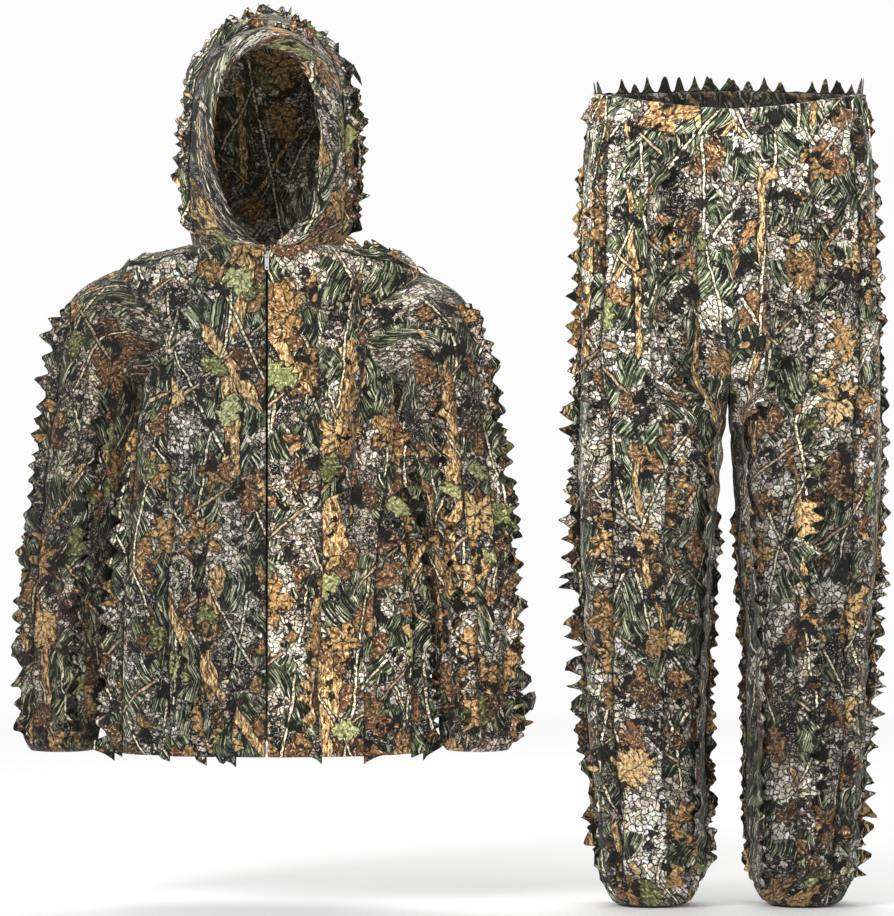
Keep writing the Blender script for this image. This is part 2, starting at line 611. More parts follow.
def star_layer(N, base, P, cell, radius, prob, colors, off, vein=0.9):
    """Five-pointed leaves with ribs that spread from the stalk."""
    v = N.vm("ADD", P, (off[0], off[1], 0))
    _, col, pos = N.vor(v, 1 / cell, 0.85)
    r, g, b = N.rgb(col)
    d = N.vm("SUBTRACT", v, pos)
    dx, dy, _ = N.xyz(d)
    rad = N.m("SQRT", N.m("ADD", N.m("MULTIPLY", dx, dx), N.m("MULTIPLY", dy, dy)))
    th = N.m("ADD", N.m("ARCTAN2", dy, dx), N.m("MULTIPLY", r, 6.2832))
    lobe = N.m("ABSOLUTE", N.m("COSINE", N.m("MULTIPLY", th, 2.5)))
    saw = N.m("MULTIPLY", N.m("SINE", N.m("MULTIPLY", th, 19.0)), 0.055)
    rr = N.m("MULTIPLY", N.m("ADD", N.m("ADD", N.m("MULTIPLY", N.m("POWER", lobe, 1.3), 0.55), 0.45), saw), N.m("MULTIPLY", N.m("ADD", N.m("MULTIPLY", g, 0.5), 0.65), radius))
    inside = N.m("SUBTRACT", rr, rad)
    off_rib = N.m("MULTIPLY", rad, N.m("MULTIPLY", N.m("ABSOLUTE", N.m("SINE", N.m("MULTIPLY", th, 2.5))), 0.4))
    rib = N.m("SUBTRACT", 1.0, N.step(off_rib, 0.0006, 0.0018))
    side = N.m("PINGPONG", N.m("SUBTRACT", rad, N.m("MULTIPLY", off_rib, 1.4)), radius / 9)
    side = N.m("SUBTRACT", 1.0, N.step(side, 0.0002, 0.0018))
    has = N.m("LESS_THAN", b, prob)
    return leaf_finish(N, base, v, inside, has, N.m("LESS_THAN", rad, radius * 1.3), N.m("MAXIMUM", rib, N.m("MULTIPLY", side, 0.75)), g, colors, vein=vein)


def line_layer(N, base, P, deg, spacing, width, color, off, wob=0.010, wobs=9.0, gap=(0.42, 0.5), dark=1.6, seedy=0.0):
    """Long wandering lines: twigs and branches."""
    v = N.vm("ADD", P, (off[0], off[1], 0))
    a, b = N.spin(v, deg)
    n1 = N.noise(N.vec(N.m("MULTIPLY", a, 0.6), b), wobs, 2.0, 0.55)[0]
    q = N.m("ADD", a, N.m("MULTIPLY", N.m("SUBTRACT", n1, 0.5), wob * 2))
    cellx = N.m("FLOOR", N.m("DIVIDE", q, spacing))
    d = N.m("ABSOLUTE", N.m("SUBTRACT", N.m("SUBTRACT", q, N.m("MULTIPLY", cellx, spacing)), spacing / 2))
    w = N.m("MULTIPLY", N.m("ADD", N.m("MULTIPLY", N.noise(v, 35.0, 1.0)[0], 0.9), 0.55), width / 2)
    on = N.step(N.noise(N.vec(N.m("MULTIPLY", cellx, 3.7), N.m("MULTIPLY", b, 1.0)), 5.5 + seedy, 1.0, 0.5)[0], gap[0], gap[1])
    inside = N.m("SUBTRACT", N.m("MULTIPLY", w, on), d)
    m_line = N.step(inside, 0.0, 0.0006)
    m_dark = N.m("MULTIPLY", N.step(inside, -0.0026, -0.0006), N.step(on, 0.2, 0.5))
    out = N.mix(N.m("MULTIPLY", m_dark, 0.85 if dark else 0.0), base, BLACK)
    return N.mix(m_line, out, color), q, b, d


PRINT = []


def camo(name, seed, pale=0.5, warm=0.5, gold=0.5, dim=1.0, leafy=1.0, strip=False, tint=(1.0, 1.0, 1.0), pebble=165.0, ink_k=0.66, fine_k=0.6, grass=0.0, hollow=0.018, fade=(1.0, 1.0)):
    """Woodland print: bark and pebbles, grass, branches, twigs and leaves, in metres of cloth."""
    N = Nodes(name, PRINT[0] if PRINT else None)
    if not PRINT:
        PRINT.append(N)
    rng = np.random.RandomState(seed)
    o = lambda: (float(rng.uniform(1, 9)), float(rng.uniform(1, 9)))
    uvn = N.new("ShaderNodeUVMap")
    uvn.uv_map = "UVMap"
    P0 = uvn.outputs[0]
    # hand-drawn wobble of every outline
    wob = N.noise(P0, 46.0, 3.0, 0.65)[1]
    P = N.vm("ADD", P0, N.vm("SCALE", N.vm("SUBTRACT", wob, (0.5, 0.5, 0.5)), scale=0.014))
    calm = N.vm("ADD", P0, N.vm("SCALE", N.vm("SUBTRACT", wob, (0.5, 0.5, 0.5)), scale=0.005))
    off = o()
    V = N.vm("ADD", P, (off[0], off[1], 0))
    # bark and pebbles
    e1 = N.vor(V, pebble, 1.0, "DISTANCE_TO_EDGE")
    _, c1, _ = N.vor(V, pebble, 1.0)
    r1, g1, b1 = N.rgb(c1)
    low = N.noise(V, 8.5, 2.0, 0.55)[0]
    low2 = N.noise(N.vm("ADD", V, (3.3, 1.7, 0)), 12.0, 3.0, 0.6)[0]
    val = N.m("ADD", N.m("MULTIPLY", r1, 0.85), N.m("MULTIPLY", N.m("SUBTRACT", low, 0.5), 1.5 + 0.4 * pale))
    val = N.m("ADD", val, -0.02 + 0.18 * pale)
    base = N.ramp(val, [(0.0, lin(24, 22, 15)), (0.18, lin(62, 56, 44)), (0.38, lin(116, 106, 90)), (0.56, lin(166, 154, 142)), (0.76, lin(214, 204, 196)), (0.95, lin(242, 236, 230))])
    tone = N.ramp(g1, [(0.0, lin(240, 222, 208)), (0.35, lin(255, 255, 255)), (0.6, lin(226, 236, 214)), (0.85, lin(232, 208, 172)), (1.0, lin(206, 218, 196))])
    base = N.mul(0.8, base, tone)
    fine = N.noise(V, 380.0, 3.0, 0.72)[0]
    base = N.mix(N.m("MULTIPLY", N.step(fine, 0.5, 0.6), fine_k), base, lin(34, 30, 22))
    base = N.mix(N.m("MULTIPLY", N.step(fine, 0.43, 0.37), 0.62), base, lin(244, 238, 230))
    base = N.mix(N.m("SUBTRACT", 1.0, N.step(e1, 0.03, 0.15)), base, BLACK)
    # grass: crossing strokes on dark ground
    stroke = None
    for deg, so in ((21, o()), (-29, o())):
        a, b = N.spin(N.vm("ADD", calm, (so[0], so[1], 0)), deg)
        sv = N.vec(N.m("ADD", a, N.m("MULTIPLY", N.m("SINE", N.m("MULTIPLY", b, 60.0)), 0.004)), N.m("MULTIPLY", b, 0.05))
        _, cs, _ = N.vor(sv, 860.0, 1.0)
        rs, gs, bs = N.rgb(cs)
        g = N.ramp(rs, [(0.0, lin(12, 14, 9)), (0.36, lin(26, 31, 20)), (0.5, lin(66, 76, 54)), (0.64, lin(106, 116, 84)), (0.8, lin(142, 148, 114)), (0.92, lin(188, 188, 160)), (1.0, lin(222, 220, 200))])
        stroke = g if stroke is None else N.mix(N.step(N.noise(N.vm("ADD", V, (5.1, 0.7, 0)), 16.0, 2.0)[0], 0.47, 0.53), stroke, g)
    stroke = N.mix(N.m("MULTIPLY", N.step(N.noise(N.vm("ADD", V, (2.1, 7.7, 0)), 60.0, 3.0, 0.7)[0], 0.5, 0.62), 0.8), stroke, lin(18, 20, 14))
    grassy = N.step(low2, 0.49 + 0.03 * (pale - 0.5) + grass, 0.51 + 0.03 * (pale - 0.5) + grass)
    base = N.mix(grassy, base, stroke)
    # brown litter under everything else
    brown = [(0.0, lin(54, 38, 22)), (0.35, lin(96, 66, 38)), (0.65, lin(132, 92, 52)), (1.0, lin(168, 124, 74))]
    base = leaf_layer(N, base, P, 0.060, 0.066, 0.044, 0.30 * leafy, brown, o(), 4.0, 0.45)
    # standing branches with bark grain
    bo = o()
    gx, gy, _ = N.xyz(V)
    tan = N.ramp(N.noise(N.vec(gx, N.m("MULTIPLY", gy, 0.22)), 360.0, 3.0, 0.72)[0], [(0.36, lin(66, 46, 22)), (0.45, lin(140, 106, 58)), (0.54, lin(188, 152, 92)), (0.66, lin(236, 216, 166))])
    base, q, b, d = line_layer(N, base, calm, 4.0, 0.21, 0.026 * (0.35 + gold), tan, bo, 0.034, 4.0, (0.45, 0.48), 1.0, 0.3)
    base, _, _, _ = line_layer(N, base, calm, -34.0, 0.25, 0.017 if gold > 0.3 else 0.006, tan, o(), 0.02, 5.0, (0.5, 0.54), 1.0, 1.1)
    # pale twigs
    cream = N.ramp(N.noise(V, 300.0, 2.0)[0], [(0.38, lin(120, 106, 80)), (0.5, lin(206, 192, 160)), (0.62, lin(242, 234, 212))])
    base, _, _, _ = line_layer(N, base, calm, 9.0, 0.083, 0.0036, cream, o(), 0.016, 6.0, (0.44, 0.46), 1.0, 1.9)
    base, _, _, _ = line_layer(N, base, calm, -27.0, 0.096, 0.0034, cream, o(), 0.012, 6.0, (0.46, 0.48), 1.0, 2.7)
    base, _, _, _ = line_layer(N, base, calm, 50.0, 0.13, 0.0036, N.mix(0.55, cream, lin(150, 108, 58)), o(), 0.012, 7.0, (0.5, 0.53), 1.0, 0.9)
    # leaves
    gold_c = [(0.15, lin(108, 78, 34)), (0.38, lin(162, 122, 62)), (0.6, lin(192, 152, 86)), (0.85, lin(222, 194, 134))]
    rust_c = [(0.15, lin(84, 54, 28)), (0.4, lin(132, 88, 46)), (0.7, lin(168, 120, 66)), (0.9, lin(198, 154, 96))]
    green_c = [(0.15, lin(84, 90, 48)), (0.4, lin(120, 128, 74)), (0.65, lin(154, 160, 104)), (0.9, lin(200, 202, 154))]
    base = leaf_layer(N, base, P, 0.078, 0.040, 0.026, (0.26 + 0.12 * warm) * leafy, rust_c, o(), 3.0, 0.5)
    base = star_layer(N, base, P, 0.118, 0.036, (0.30 + 0.22 * warm) * leafy, gold_c, o())
    base = leaf_layer(N, base, P, 0.086, 0.050, 0.038, 0.27 * leafy, green_c, o(), 4.0, 0.55, vein=0.45)
    base = leaf_layer(N, base, P, 0.110, 0.060, 0.050, (0.14 + 0.14 * warm) * leafy, gold_c, o(), 5.0, 0.6)
    base = leaf_layer(N, base, P, 0.050, 0.024, 0.015, 0.22 * leafy, gold_c, o(), 1.6, 0.3, vein=0.45)
    # black hollows and ink
    gap = N.noise(N.vm("ADD", V, (1.9, 6.1, 0)), 27.0, 4.0, 0.66)[0]
    base = N.mix(N.m("MULTIPLY", N.step(gap, 0.58 + hollow, 0.605 + hollow), 0.94), base, BLACK)
    ink = N.noise(N.vm("ADD", V, (8.9, 2.1, 0)), 150.0, 4.0, 0.75)[0]
    base = N.mix(N.m("MULTIPLY", N.step(ink, 0.575, 0.605), ink_k), base, lin(20, 17, 11))
    # broad light and dark of the dyeing
    shade = N.m("ADD", 0.66, N.m("MULTIPLY", N.noise(P0, 7.0, 2.0, 0.5)[0], 0.66))
    base = N.mul(1.0, base, N.vec(shade, shade, shade))
    # the trousers are dyed lighter towards the waist: v counts down the leg
    down = N.step(N.xyz(P0)[1], 10.05, 10.5)
    tone_down = N.m("ADD", fade[0], N.m("MULTIPLY", down, fade[1] - fade[0]))
    gm = N.new("ShaderNodeGamma")
    N.put(gm.inputs[0], base)
    N.put(gm.inputs[1], 1.22)
    hs = N.new("ShaderNodeHueSaturation")
    N.put(hs.inputs["Saturation"], 0.87)
    N.put(hs.inputs["Color"], gm.outputs[0])
    base = N.mul(1.0, hs.outputs[0], N.vec(tone_down, tone_down, tone_down))
    # cut edges of the strips are darker and a little frayed
    at = N.new("ShaderNodeAttribute")
    at.attribute_name = "edge"
    edge = at.outputs["Fac"]
    base = N.mul(N.m("MULTIPLY", N.m("SUBTRACT", 1.0, N.step(edge, 0.0, 0.36)), 0.78 if strip else 0.0), base, lin(96, 90, 76))
    base = N.mix(N.m("MULTIPLY", N.step(edge, 0.9, 0.96), 0.8 if strip else 0.0), base, lin(20, 17, 11))
    grey = N.mix(0.35 if dim < 1 else 0.0, base, lin(58, 54, 40))
    base = N.mul(1.0, grey, (1.26 * dim * tint[0], 1.26 * dim * tint[1], 1.26 * dim * tint[2]))
    # knit: rows of small stitches
    kx, ky, _ = N.xyz(P0)
    knit = N.m("MULTIPLY", N.m("SINE", N.m("MULTIPLY", kx, 2 * math.pi / 0.0011)), N.m("SINE", N.m("MULTIPLY", ky, 2 * math.pi / 0.0009)))
    hgt = N.m("ADD", N.m("MULTIPLY", knit, 0.5), N.m("MULTIPLY", fine, 0.8))
    bump = N.new("ShaderNodeBump")
    bump.inputs["Strength"].default_value = 0.35
    bump.inputs["Distance"].default_value = 0.0004
    N.put(bump.inputs["Height"], hgt)
    N.put(N.bsdf.inputs["Normal"], bump.outputs[0])
    N.put(N.bsdf.inputs["Base Color"], base)
    N.put(N.bsdf.inputs["Roughness"], N.m("ADD", 0.74, N.m("MULTIPLY", fine, 0.22)))
    N.put(N.bsdf.inputs["Sheen Weight"], 0.12)
    N.put(N.bsdf.inputs["Sheen Roughness"], 0.6)
    N.put(N.bsdf.inputs["Specular IOR Level"], 0.18)
    return N.mat


M = {}
M["jacket_r"] = camo("camo_jacket_right", 11, pale=0.5, warm=0.7, gold=0.45, pebble=150.0, tint=(0.8, 0.82, 0.82))
M["jacket_l"] = camo("camo_jacket_left", 23, pale=0.65, warm=1.1, gold=1.0, pebble=150.0, tint=(1.3, 1.28, 1.22))
M["jacket_b"] = camo("camo_jacket_back", 37, pale=0.5, warm=0.6, gold=0.6)
M["sleeve_left"] = camo("camo_sleeve_left", 41, pale=0.35, warm=0.9, gold=0.25, tint=(0.92, 0.9, 0.86), hollow=0.01)
M["sleeve_right"] = camo("camo_sleeve_right", 43, pale=0.3, warm=0.8, gold=0.2, tint=(0.55, 0.52, 0.48), hollow=0.01)
M["hood"] = camo("camo_hood", 53, pale=0.5, warm=0.8, gold=0.4, tint=(0.93, 0.93, 0.93), grass=0.022)
M["trouser_left"] = camo("camo_trouser_left", 67, pale=1.3, warm=0.3, gold=0.0, leafy=0.8, tint=(0.95, 0.97, 0.97), pebble=128.0, ink_k=0.6, fine_k=0.5, grass=0.012, hollow=0.008, fade=(1.62, 0.62))
M["trouser_right"] = camo("camo_trouser_right", 67, pale=1.3, warm=0.3, gold=0.0, leafy=0.8, tint=(0.95, 0.97, 0.97), pebble=128.0, ink_k=0.6, fine_k=0.5, grass=0.012, hollow=0.008, fade=(1.62, 0.97))
M["strip_jr"] = camo("camo_strip_jacket_right", 73, pale=0.55, warm=1.0, gold=0.5, strip=True, pebble=150.0, tint=(0.85, 0.86, 0.84))
M["strip_s"] = camo("camo_strip_sleeve_right", 77, pale=0.45, warm=1.1, gold=0.4, strip=True, pebble=150.0, tint=(0.62, 0.6, 0.56))
M["strip_tl"] = camo("camo_strip_trouser_low", 87, pale=0.95, warm=0.7, gold=0.1, strip=True, pebble=140.0, tint=(0.85, 0.85, 0.83))
M["strip_j"] = camo("camo_strip_jacket", 71, pale=0.55, warm=1.1, gold=0.5, strip=True, pebble=150.0, tint=(1.12, 1.1, 1.06))
M["strip_t"] = camo("camo_strip_trouser", 83, pale=0.95, warm=0.6, gold=0.1, strip=True, pebble=140.0, ink_k=0.7, fine_k=0.6, tint=(1.08, 1.08, 1.05))
M["hood_right"] = camo("camo_hood_right", 59, pale=0.45, warm=0.8, gold=0.4, tint=(0.62, 0.64, 0.63), grass=0.022)
M["lining"] = camo("camo_hood_lining", 131, pale=0.6, warm=0.3, gold=0.2, dim=0.99, leafy=0.6, grass=0.02, tint=(1.45, 1.45, 1.4))
M["inside"] = camo("camo_inside", 97, pale=0.35, warm=0.6, gold=0.3, dim=0.46, leafy=0.9)


def weave(name, color, color2, pitch=0.0008, rough=0.8, metal=0.0, ribs=0.0):
    N = Nodes(name)
    tc = N.new("ShaderNodeTexCoord")
    P = tc.outputs["Object"]
    x, y, z = N.xyz(P)
    a = N.m("SINE", N.m("MULTIPLY", N.m("ADD", x, y), 2 * math.pi / pitch))
    b = N.m("SINE", N.m("MULTIPLY", N.m("SUBTRACT", z, N.m("MULTIPLY", y, 0.3)), 2 * math.pi / (pitch * (1 + ribs))))
    h = N.m("MULTIPLY", a, b)
    n = N.noise(P, 120.0, 3.0, 0.6, dims="3D")[0]
    N.put(N.bsdf.inputs["Base Color"], N.mix(N.m("ADD", N.m("MULTIPLY", h, 0.3), n), color, color2))
    N.put(N.bsdf.inputs["Roughness"], N.m("ADD", rough - 0.08, N.m("MULTIPLY", n, 0.16)))
    N.put(N.bsdf.inputs["Metallic"], metal)
    bump = N.new("ShaderNodeBump")
    bump.inputs["Strength"].default_value = 0.5
    bump.inputs["Distance"].default_value = 0.0003
    N.put(bump.inputs["Height"], h)
    N.put(N.bsdf.inputs["Normal"], bump.outputs[0])
    return N.mat


def worn_metal(name, color, rough):
    N = Nodes(name)
    tc = N.new("ShaderNodeTexCoord")
    P = tc.outputs["Object"]
    n = N.noise(P, 350.0, 4.0, 0.65, dims="3D")[0]
    s = N.noise(N.vm("MULTIPLY", P, (1.0, 1.0, 0.08)), 2600.0, 2.0, 0.6, dims="3D")[0]
    N.put(N.bsdf.inputs["Base Color"], N.mix(N.step(n, 0.45, 0.7), color, (color[0] * 0.72, color[1] * 0.72, color[2] * 0.7)))
    N.put(N.bsdf.inputs["Metallic"], 1.0)
    N.put(N.bsdf.inputs["Roughness"], N.m("ADD", rough, N.m("MULTIPLY", s, 0.22)))
    bump = N.new("ShaderNodeBump")
    bump.inputs["Strength"].default_value = 0.12
    bump.inputs["Distance"].default_value = 0.0002
    N.put(bump.inputs["Height"], s)
    N.put(N.bsdf.inputs["Normal"], bump.outputs[0])
    return N.mat


M["tape"] = weave("zip_tape_weave", lin(26, 26, 20), lin(50, 48, 38), 0.0009)
M["nylon"] = weave("coil_nylon", lin(24, 24, 20), lin(44, 43, 36), 0.0016, 0.45)
M["elastic"] = weave("elastic_ribs", lin(30, 30, 26), lin(62, 60, 52), 0.0014, 0.85)
M["metal"] = worn_metal("zip_metal_bright", (0.80, 0.80, 0.77), 0.22)
M["thread"] = weave("sewing_thread", lin(60, 54, 38), lin(96, 88, 66), 0.0006)

# ------------------------------------------------------------------ garment surfaces (mm, garment-local x)

TORSO = [[208, 209, 124], [273, 209, 124], [406, 208, 121], [539, 191, 118], [605, 180, 119], [672, 168, 120], [705, 175, 118], [751, 186, 114], [805, 200, 102], [838, 206, 88], [851, 194, 80], [862, 168, 74], [871, 134, 68], [878, 102, 62]]
HOOD = [[881, 102, -92, 62], [905, 108, -98, 82], [964, 113, -104, 108], [1017, 112, -106, 120], [1071, 108, -106, 120], [1097, 102, -104, 112], [1124, 89, -99, 98], [1150, 69, -87, 76], [1166, 50, -70, 54], [1177, 28, -46, 26], [1183, 5, -16, -4]]
FACE = [[881, 13], [891, 29], [918, 48], [951, 61], [991, 70], [1031, 72], [1071, 65], [1097, 56], [1124, 37], [1133, 19], [1137, 2]]
SLEEVE = [[206, 839, 175, 691, 0, 74], [250, 815, 175.4, 689, 0, 72], [276, 775, 175.8, 684, 0, 69], [287, 730, 176.4, 674, -1, 66], [292, 684, 177.2, 660, -2, 64], [298, 632, 178.6, 632, -4, 60]]
SLEEVE_LOW = [[208, 276, -16, 42, 40], [232, 275, -16, 48, 46], [273, 272, -15, 52, 50], [406, 266, -12, 54, 54], [539, 252, -8, 57, 56], [632, 238.3, -4, 59.7, 60]]
LEG = [[0, 150, 52, 46], [20, 160, 40, 53], [34, 167, 34, 60], [60, 171, 29, 66], [140, 176, 26, 72], [220, 184, 28, 77], [352, 189, 24, 82], [459, 198, 16, 88], [592, 201, 7, 97], [650, 200, 2.4, 102]]
HIPS = [[654, 200, 112], [725, 198, 118], [805, 196, 120], [880, 194, 119], [938, 192, 116], [991, 189, 112], [1030, 184, 108], [1084, 178, 104]]
BAND_H = 34.0
ARM_Z = 765.0

torso_w, torso_b = curve_of(TORSO, 6)
hood_w, hood_f, hood_b = curve_of(HOOD, 3)
face_half, = curve_of(FACE, 3)
low_x, low_y, low_w, low_d = curve_of(SLEEVE_LOW, 8)
leg_o, leg_i, leg_d = curve_of(LEG, 4)
hip_w, hip_d = curve_of(HIPS, 8)


def front_y(z):
    return -128 + 36 * (z - 208) / 670


def torso_pt(ang, z):
    a, yf, yb = torso_w(z), front_y(z), torso_b(z)
    e = 2 / 2.4
    return np.stack([a * spow(np.sin(ang), e), (yf + yb) / 2 - (yb - yf) / 2 * spow(np.cos(ang), e), z + 0 * ang], axis=-1)


def torso_ang(x, z):
    return np.arcsin(np.clip(np.abs(x) / torso_w(z), 0, 1) ** 1.2)


def torso_reach(y, z):
    yf, yb = front_y(z), torso_b(z)
    f = np.clip(np.abs((y - (yf + yb) / 2) / ((yb - yf) / 2)), 0, 1)
    return torso_w(z) * (1 - f**2.4) ** (1 / 2.4)


def arc_zs(z0, z1, width, step):
    """Heights spaced evenly along a side profile."""
    z = np.linspace(z0, z1, 4000)
    s = np.concatenate([[0], np.cumsum(np.hypot(np.diff(z), np.diff(width(z))))])
    return np.interp(np.linspace(0, s[-1], int(s[-1] / step) + 1), s, z)


def spaced(f, n, power=0.0):
    """n+1 parameters of a curve f(t) at even arc length, t 0..1."""
    t = np.linspace(0, 1, 2000)
    p = f(t)
    s = np.concatenate([[0], np.cumsum(np.linalg.norm(np.diff(p, axis=0), axis=1))])
    return np.interp(np.linspace(0, s[-1], n + 1), s, t)


# jacket body: one sheet that starts at the wearer's right front edge, runs round the back and ends at the left front edge
EDGE_X = 1.5
tz = arc_zs(207.0, 877.5, torso_w, 6.0)
NB = 200
rows = []
for z in tz:
    e0 = torso_ang(EDGE_X, z)
    t = spaced(lambda q: torso_pt(-e0 - q * (2 * np.pi - 2 * e0), z), NB)
    rows.append(torso_pt(-e0 - t * (2 * np.pi - 2 * e0), z))
TOR = Sheet(np.array(rows), flip=False)
if (TOR.N[len(tz) // 2, NB // 2][1]) < 0:
    TOR = Sheet(TOR.P, flip=True)
X, Y, Z = TOR.P[..., 0], TOR.P[..., 1], TOR.P[..., 2]
ang = np.arctan2(X, -Y)  # 0 at the front
side_s = np.abs(X) / 200.0
hang = sstep(0.0, 1.0, (860 - Z) / 300)
drape = 3.6 * fbm(ang * 5.2, Z * 0.0035, 1.7, 3, 5) + 2.2 * fbm(ang * 11.0, Z * 0.005 + 3, 4.1, 2, 9)
# slanting pulls from the armpits towards the middle
arm_r = np.hypot(np.abs(X) - 175, Z - 690)
pull = np.exp(-(arm_r / 150) ** 2) * np.sin((Z - 0.75 * np.abs(X)) * 0.16 + 1.5 * fbm(X * 0.01, Z * 0.01, 2, 2, 3)) * 2.4
crumple = 1.3 * fbm(X * 0.035, Y * 0.035, Z * 0.03, 3, 21)
waist = np.exp(-((Z - 400) / 130) ** 2) * np.sin(Z * 0.075 + 2.2 * fbm(X * 0.008, 0, Z * 0.004, 2, 31) + X * 0.012) * 1.7
d = drape * (0.35 + 0.65 * hang) + pull + crumple + waist
centre = np.exp(-(X / 16.0) ** 2) * (Y < 0)
d = d * (1 - 0.85 * centre) + 1.6 * np.exp(-((np.abs(X) - 11.0) / 5.0) ** 2) * (Y < 0) - 1.0 * np.exp(-(X / 4.0) ** 2) * (Y < 0)
d = np.clip(d, -6, 6.5)
d += 6.5 * np.exp(-((Z - 640) / 62) ** 2) * sstep(140, 168, np.abs(X))
flank = sstep(150, 172, np.abs(X)) * (Z < 700)
d = np.where(flank > 0, np.maximum(d, 3.2 * flank + np.minimum(d, 0) * (1 - flank)), d)
# side seams and hem stitching
d -= 1.0 * np.exp(-((Y + 2) / 2.6) ** 2) * (Z < 560)
d -= 1.1 * np.exp(-((Z - 226) / 1.6) ** 2)
d *= sstep(0, 1, (878 - Z) / 14) * 0.9 + 0.1
arm = np.hypot(Y, Z - ARM_Z)
d *= 1 - (arm < 100) * (1 - sstep(78, 100, arm)) * (np.abs(X) > 100)
TOR.push(d)
# snap the armhole's rim on to its circle
R_HOLE = 74.0
Y, Z = TOR.P[..., 1], TOR.P[..., 2]
arm = np.hypot(Y, Z - ARM_Z)
near = (np.abs(TOR.P[..., 0]) > 100) & (np.abs(arm - R_HOLE) < 3.1)
sc = np.where(near, R_HOLE / np.maximum(arm, 1), 1.0)
TOR.P[..., 1] = Y * sc
TOR.P[..., 2] = ARM_Z + (Z - ARM_Z) * sc
TOR.refresh()
cen = (TOR.P[:-1, :-1] + TOR.P[1:, :-1] + TOR.P[:-1, 1:] + TOR.P[1:, 1:]) / 4
open_arm = (np.hypot(cen[..., 1], cen[..., 2] - ARM_Z) < R_HOLE) & (np.abs(cen[..., 0]) > 100)
JAC = Sheet(TOR.P + [JX, 0, 0], flip=TOR.flip)


def side_col(sheet, right):
    """Column of the body's widest line on one side."""
    x = sheet.P[len(sheet.P) // 3, :, 0]
    return int(np.argmin(x) if right else np.argmax(x))


cR, cL = side_col(TOR, True), side_col(TOR, False)
keep_torso = lambda jj, ii: ~open_arm[jj, ii]
for name, a, b, node, mat, uv0, col in (
    ("jacket_front_cloth_right", 0, cR, "front_panel_right", "jacket_r", (0.0, 0.0), 0),
    ("jacket_back_cloth", cR, cL, "back_panel", "jacket_b", (3.0, 1.0), NB // 2),
    ("jacket_front_cloth_left", cL, NB, "front_panel_left", "jacket_l", (6.0, 2.0), NB),
):
    V, N_, F, UV = JAC.grid_mesh(a, b, keep=keep_torso, uv0=uv0, col=col)
    ob = closed_object(name, V, N_, F, UV, 1.6, (M[mat], M["inside"]))
    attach(ob, "jacket")
    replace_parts(ob, node)

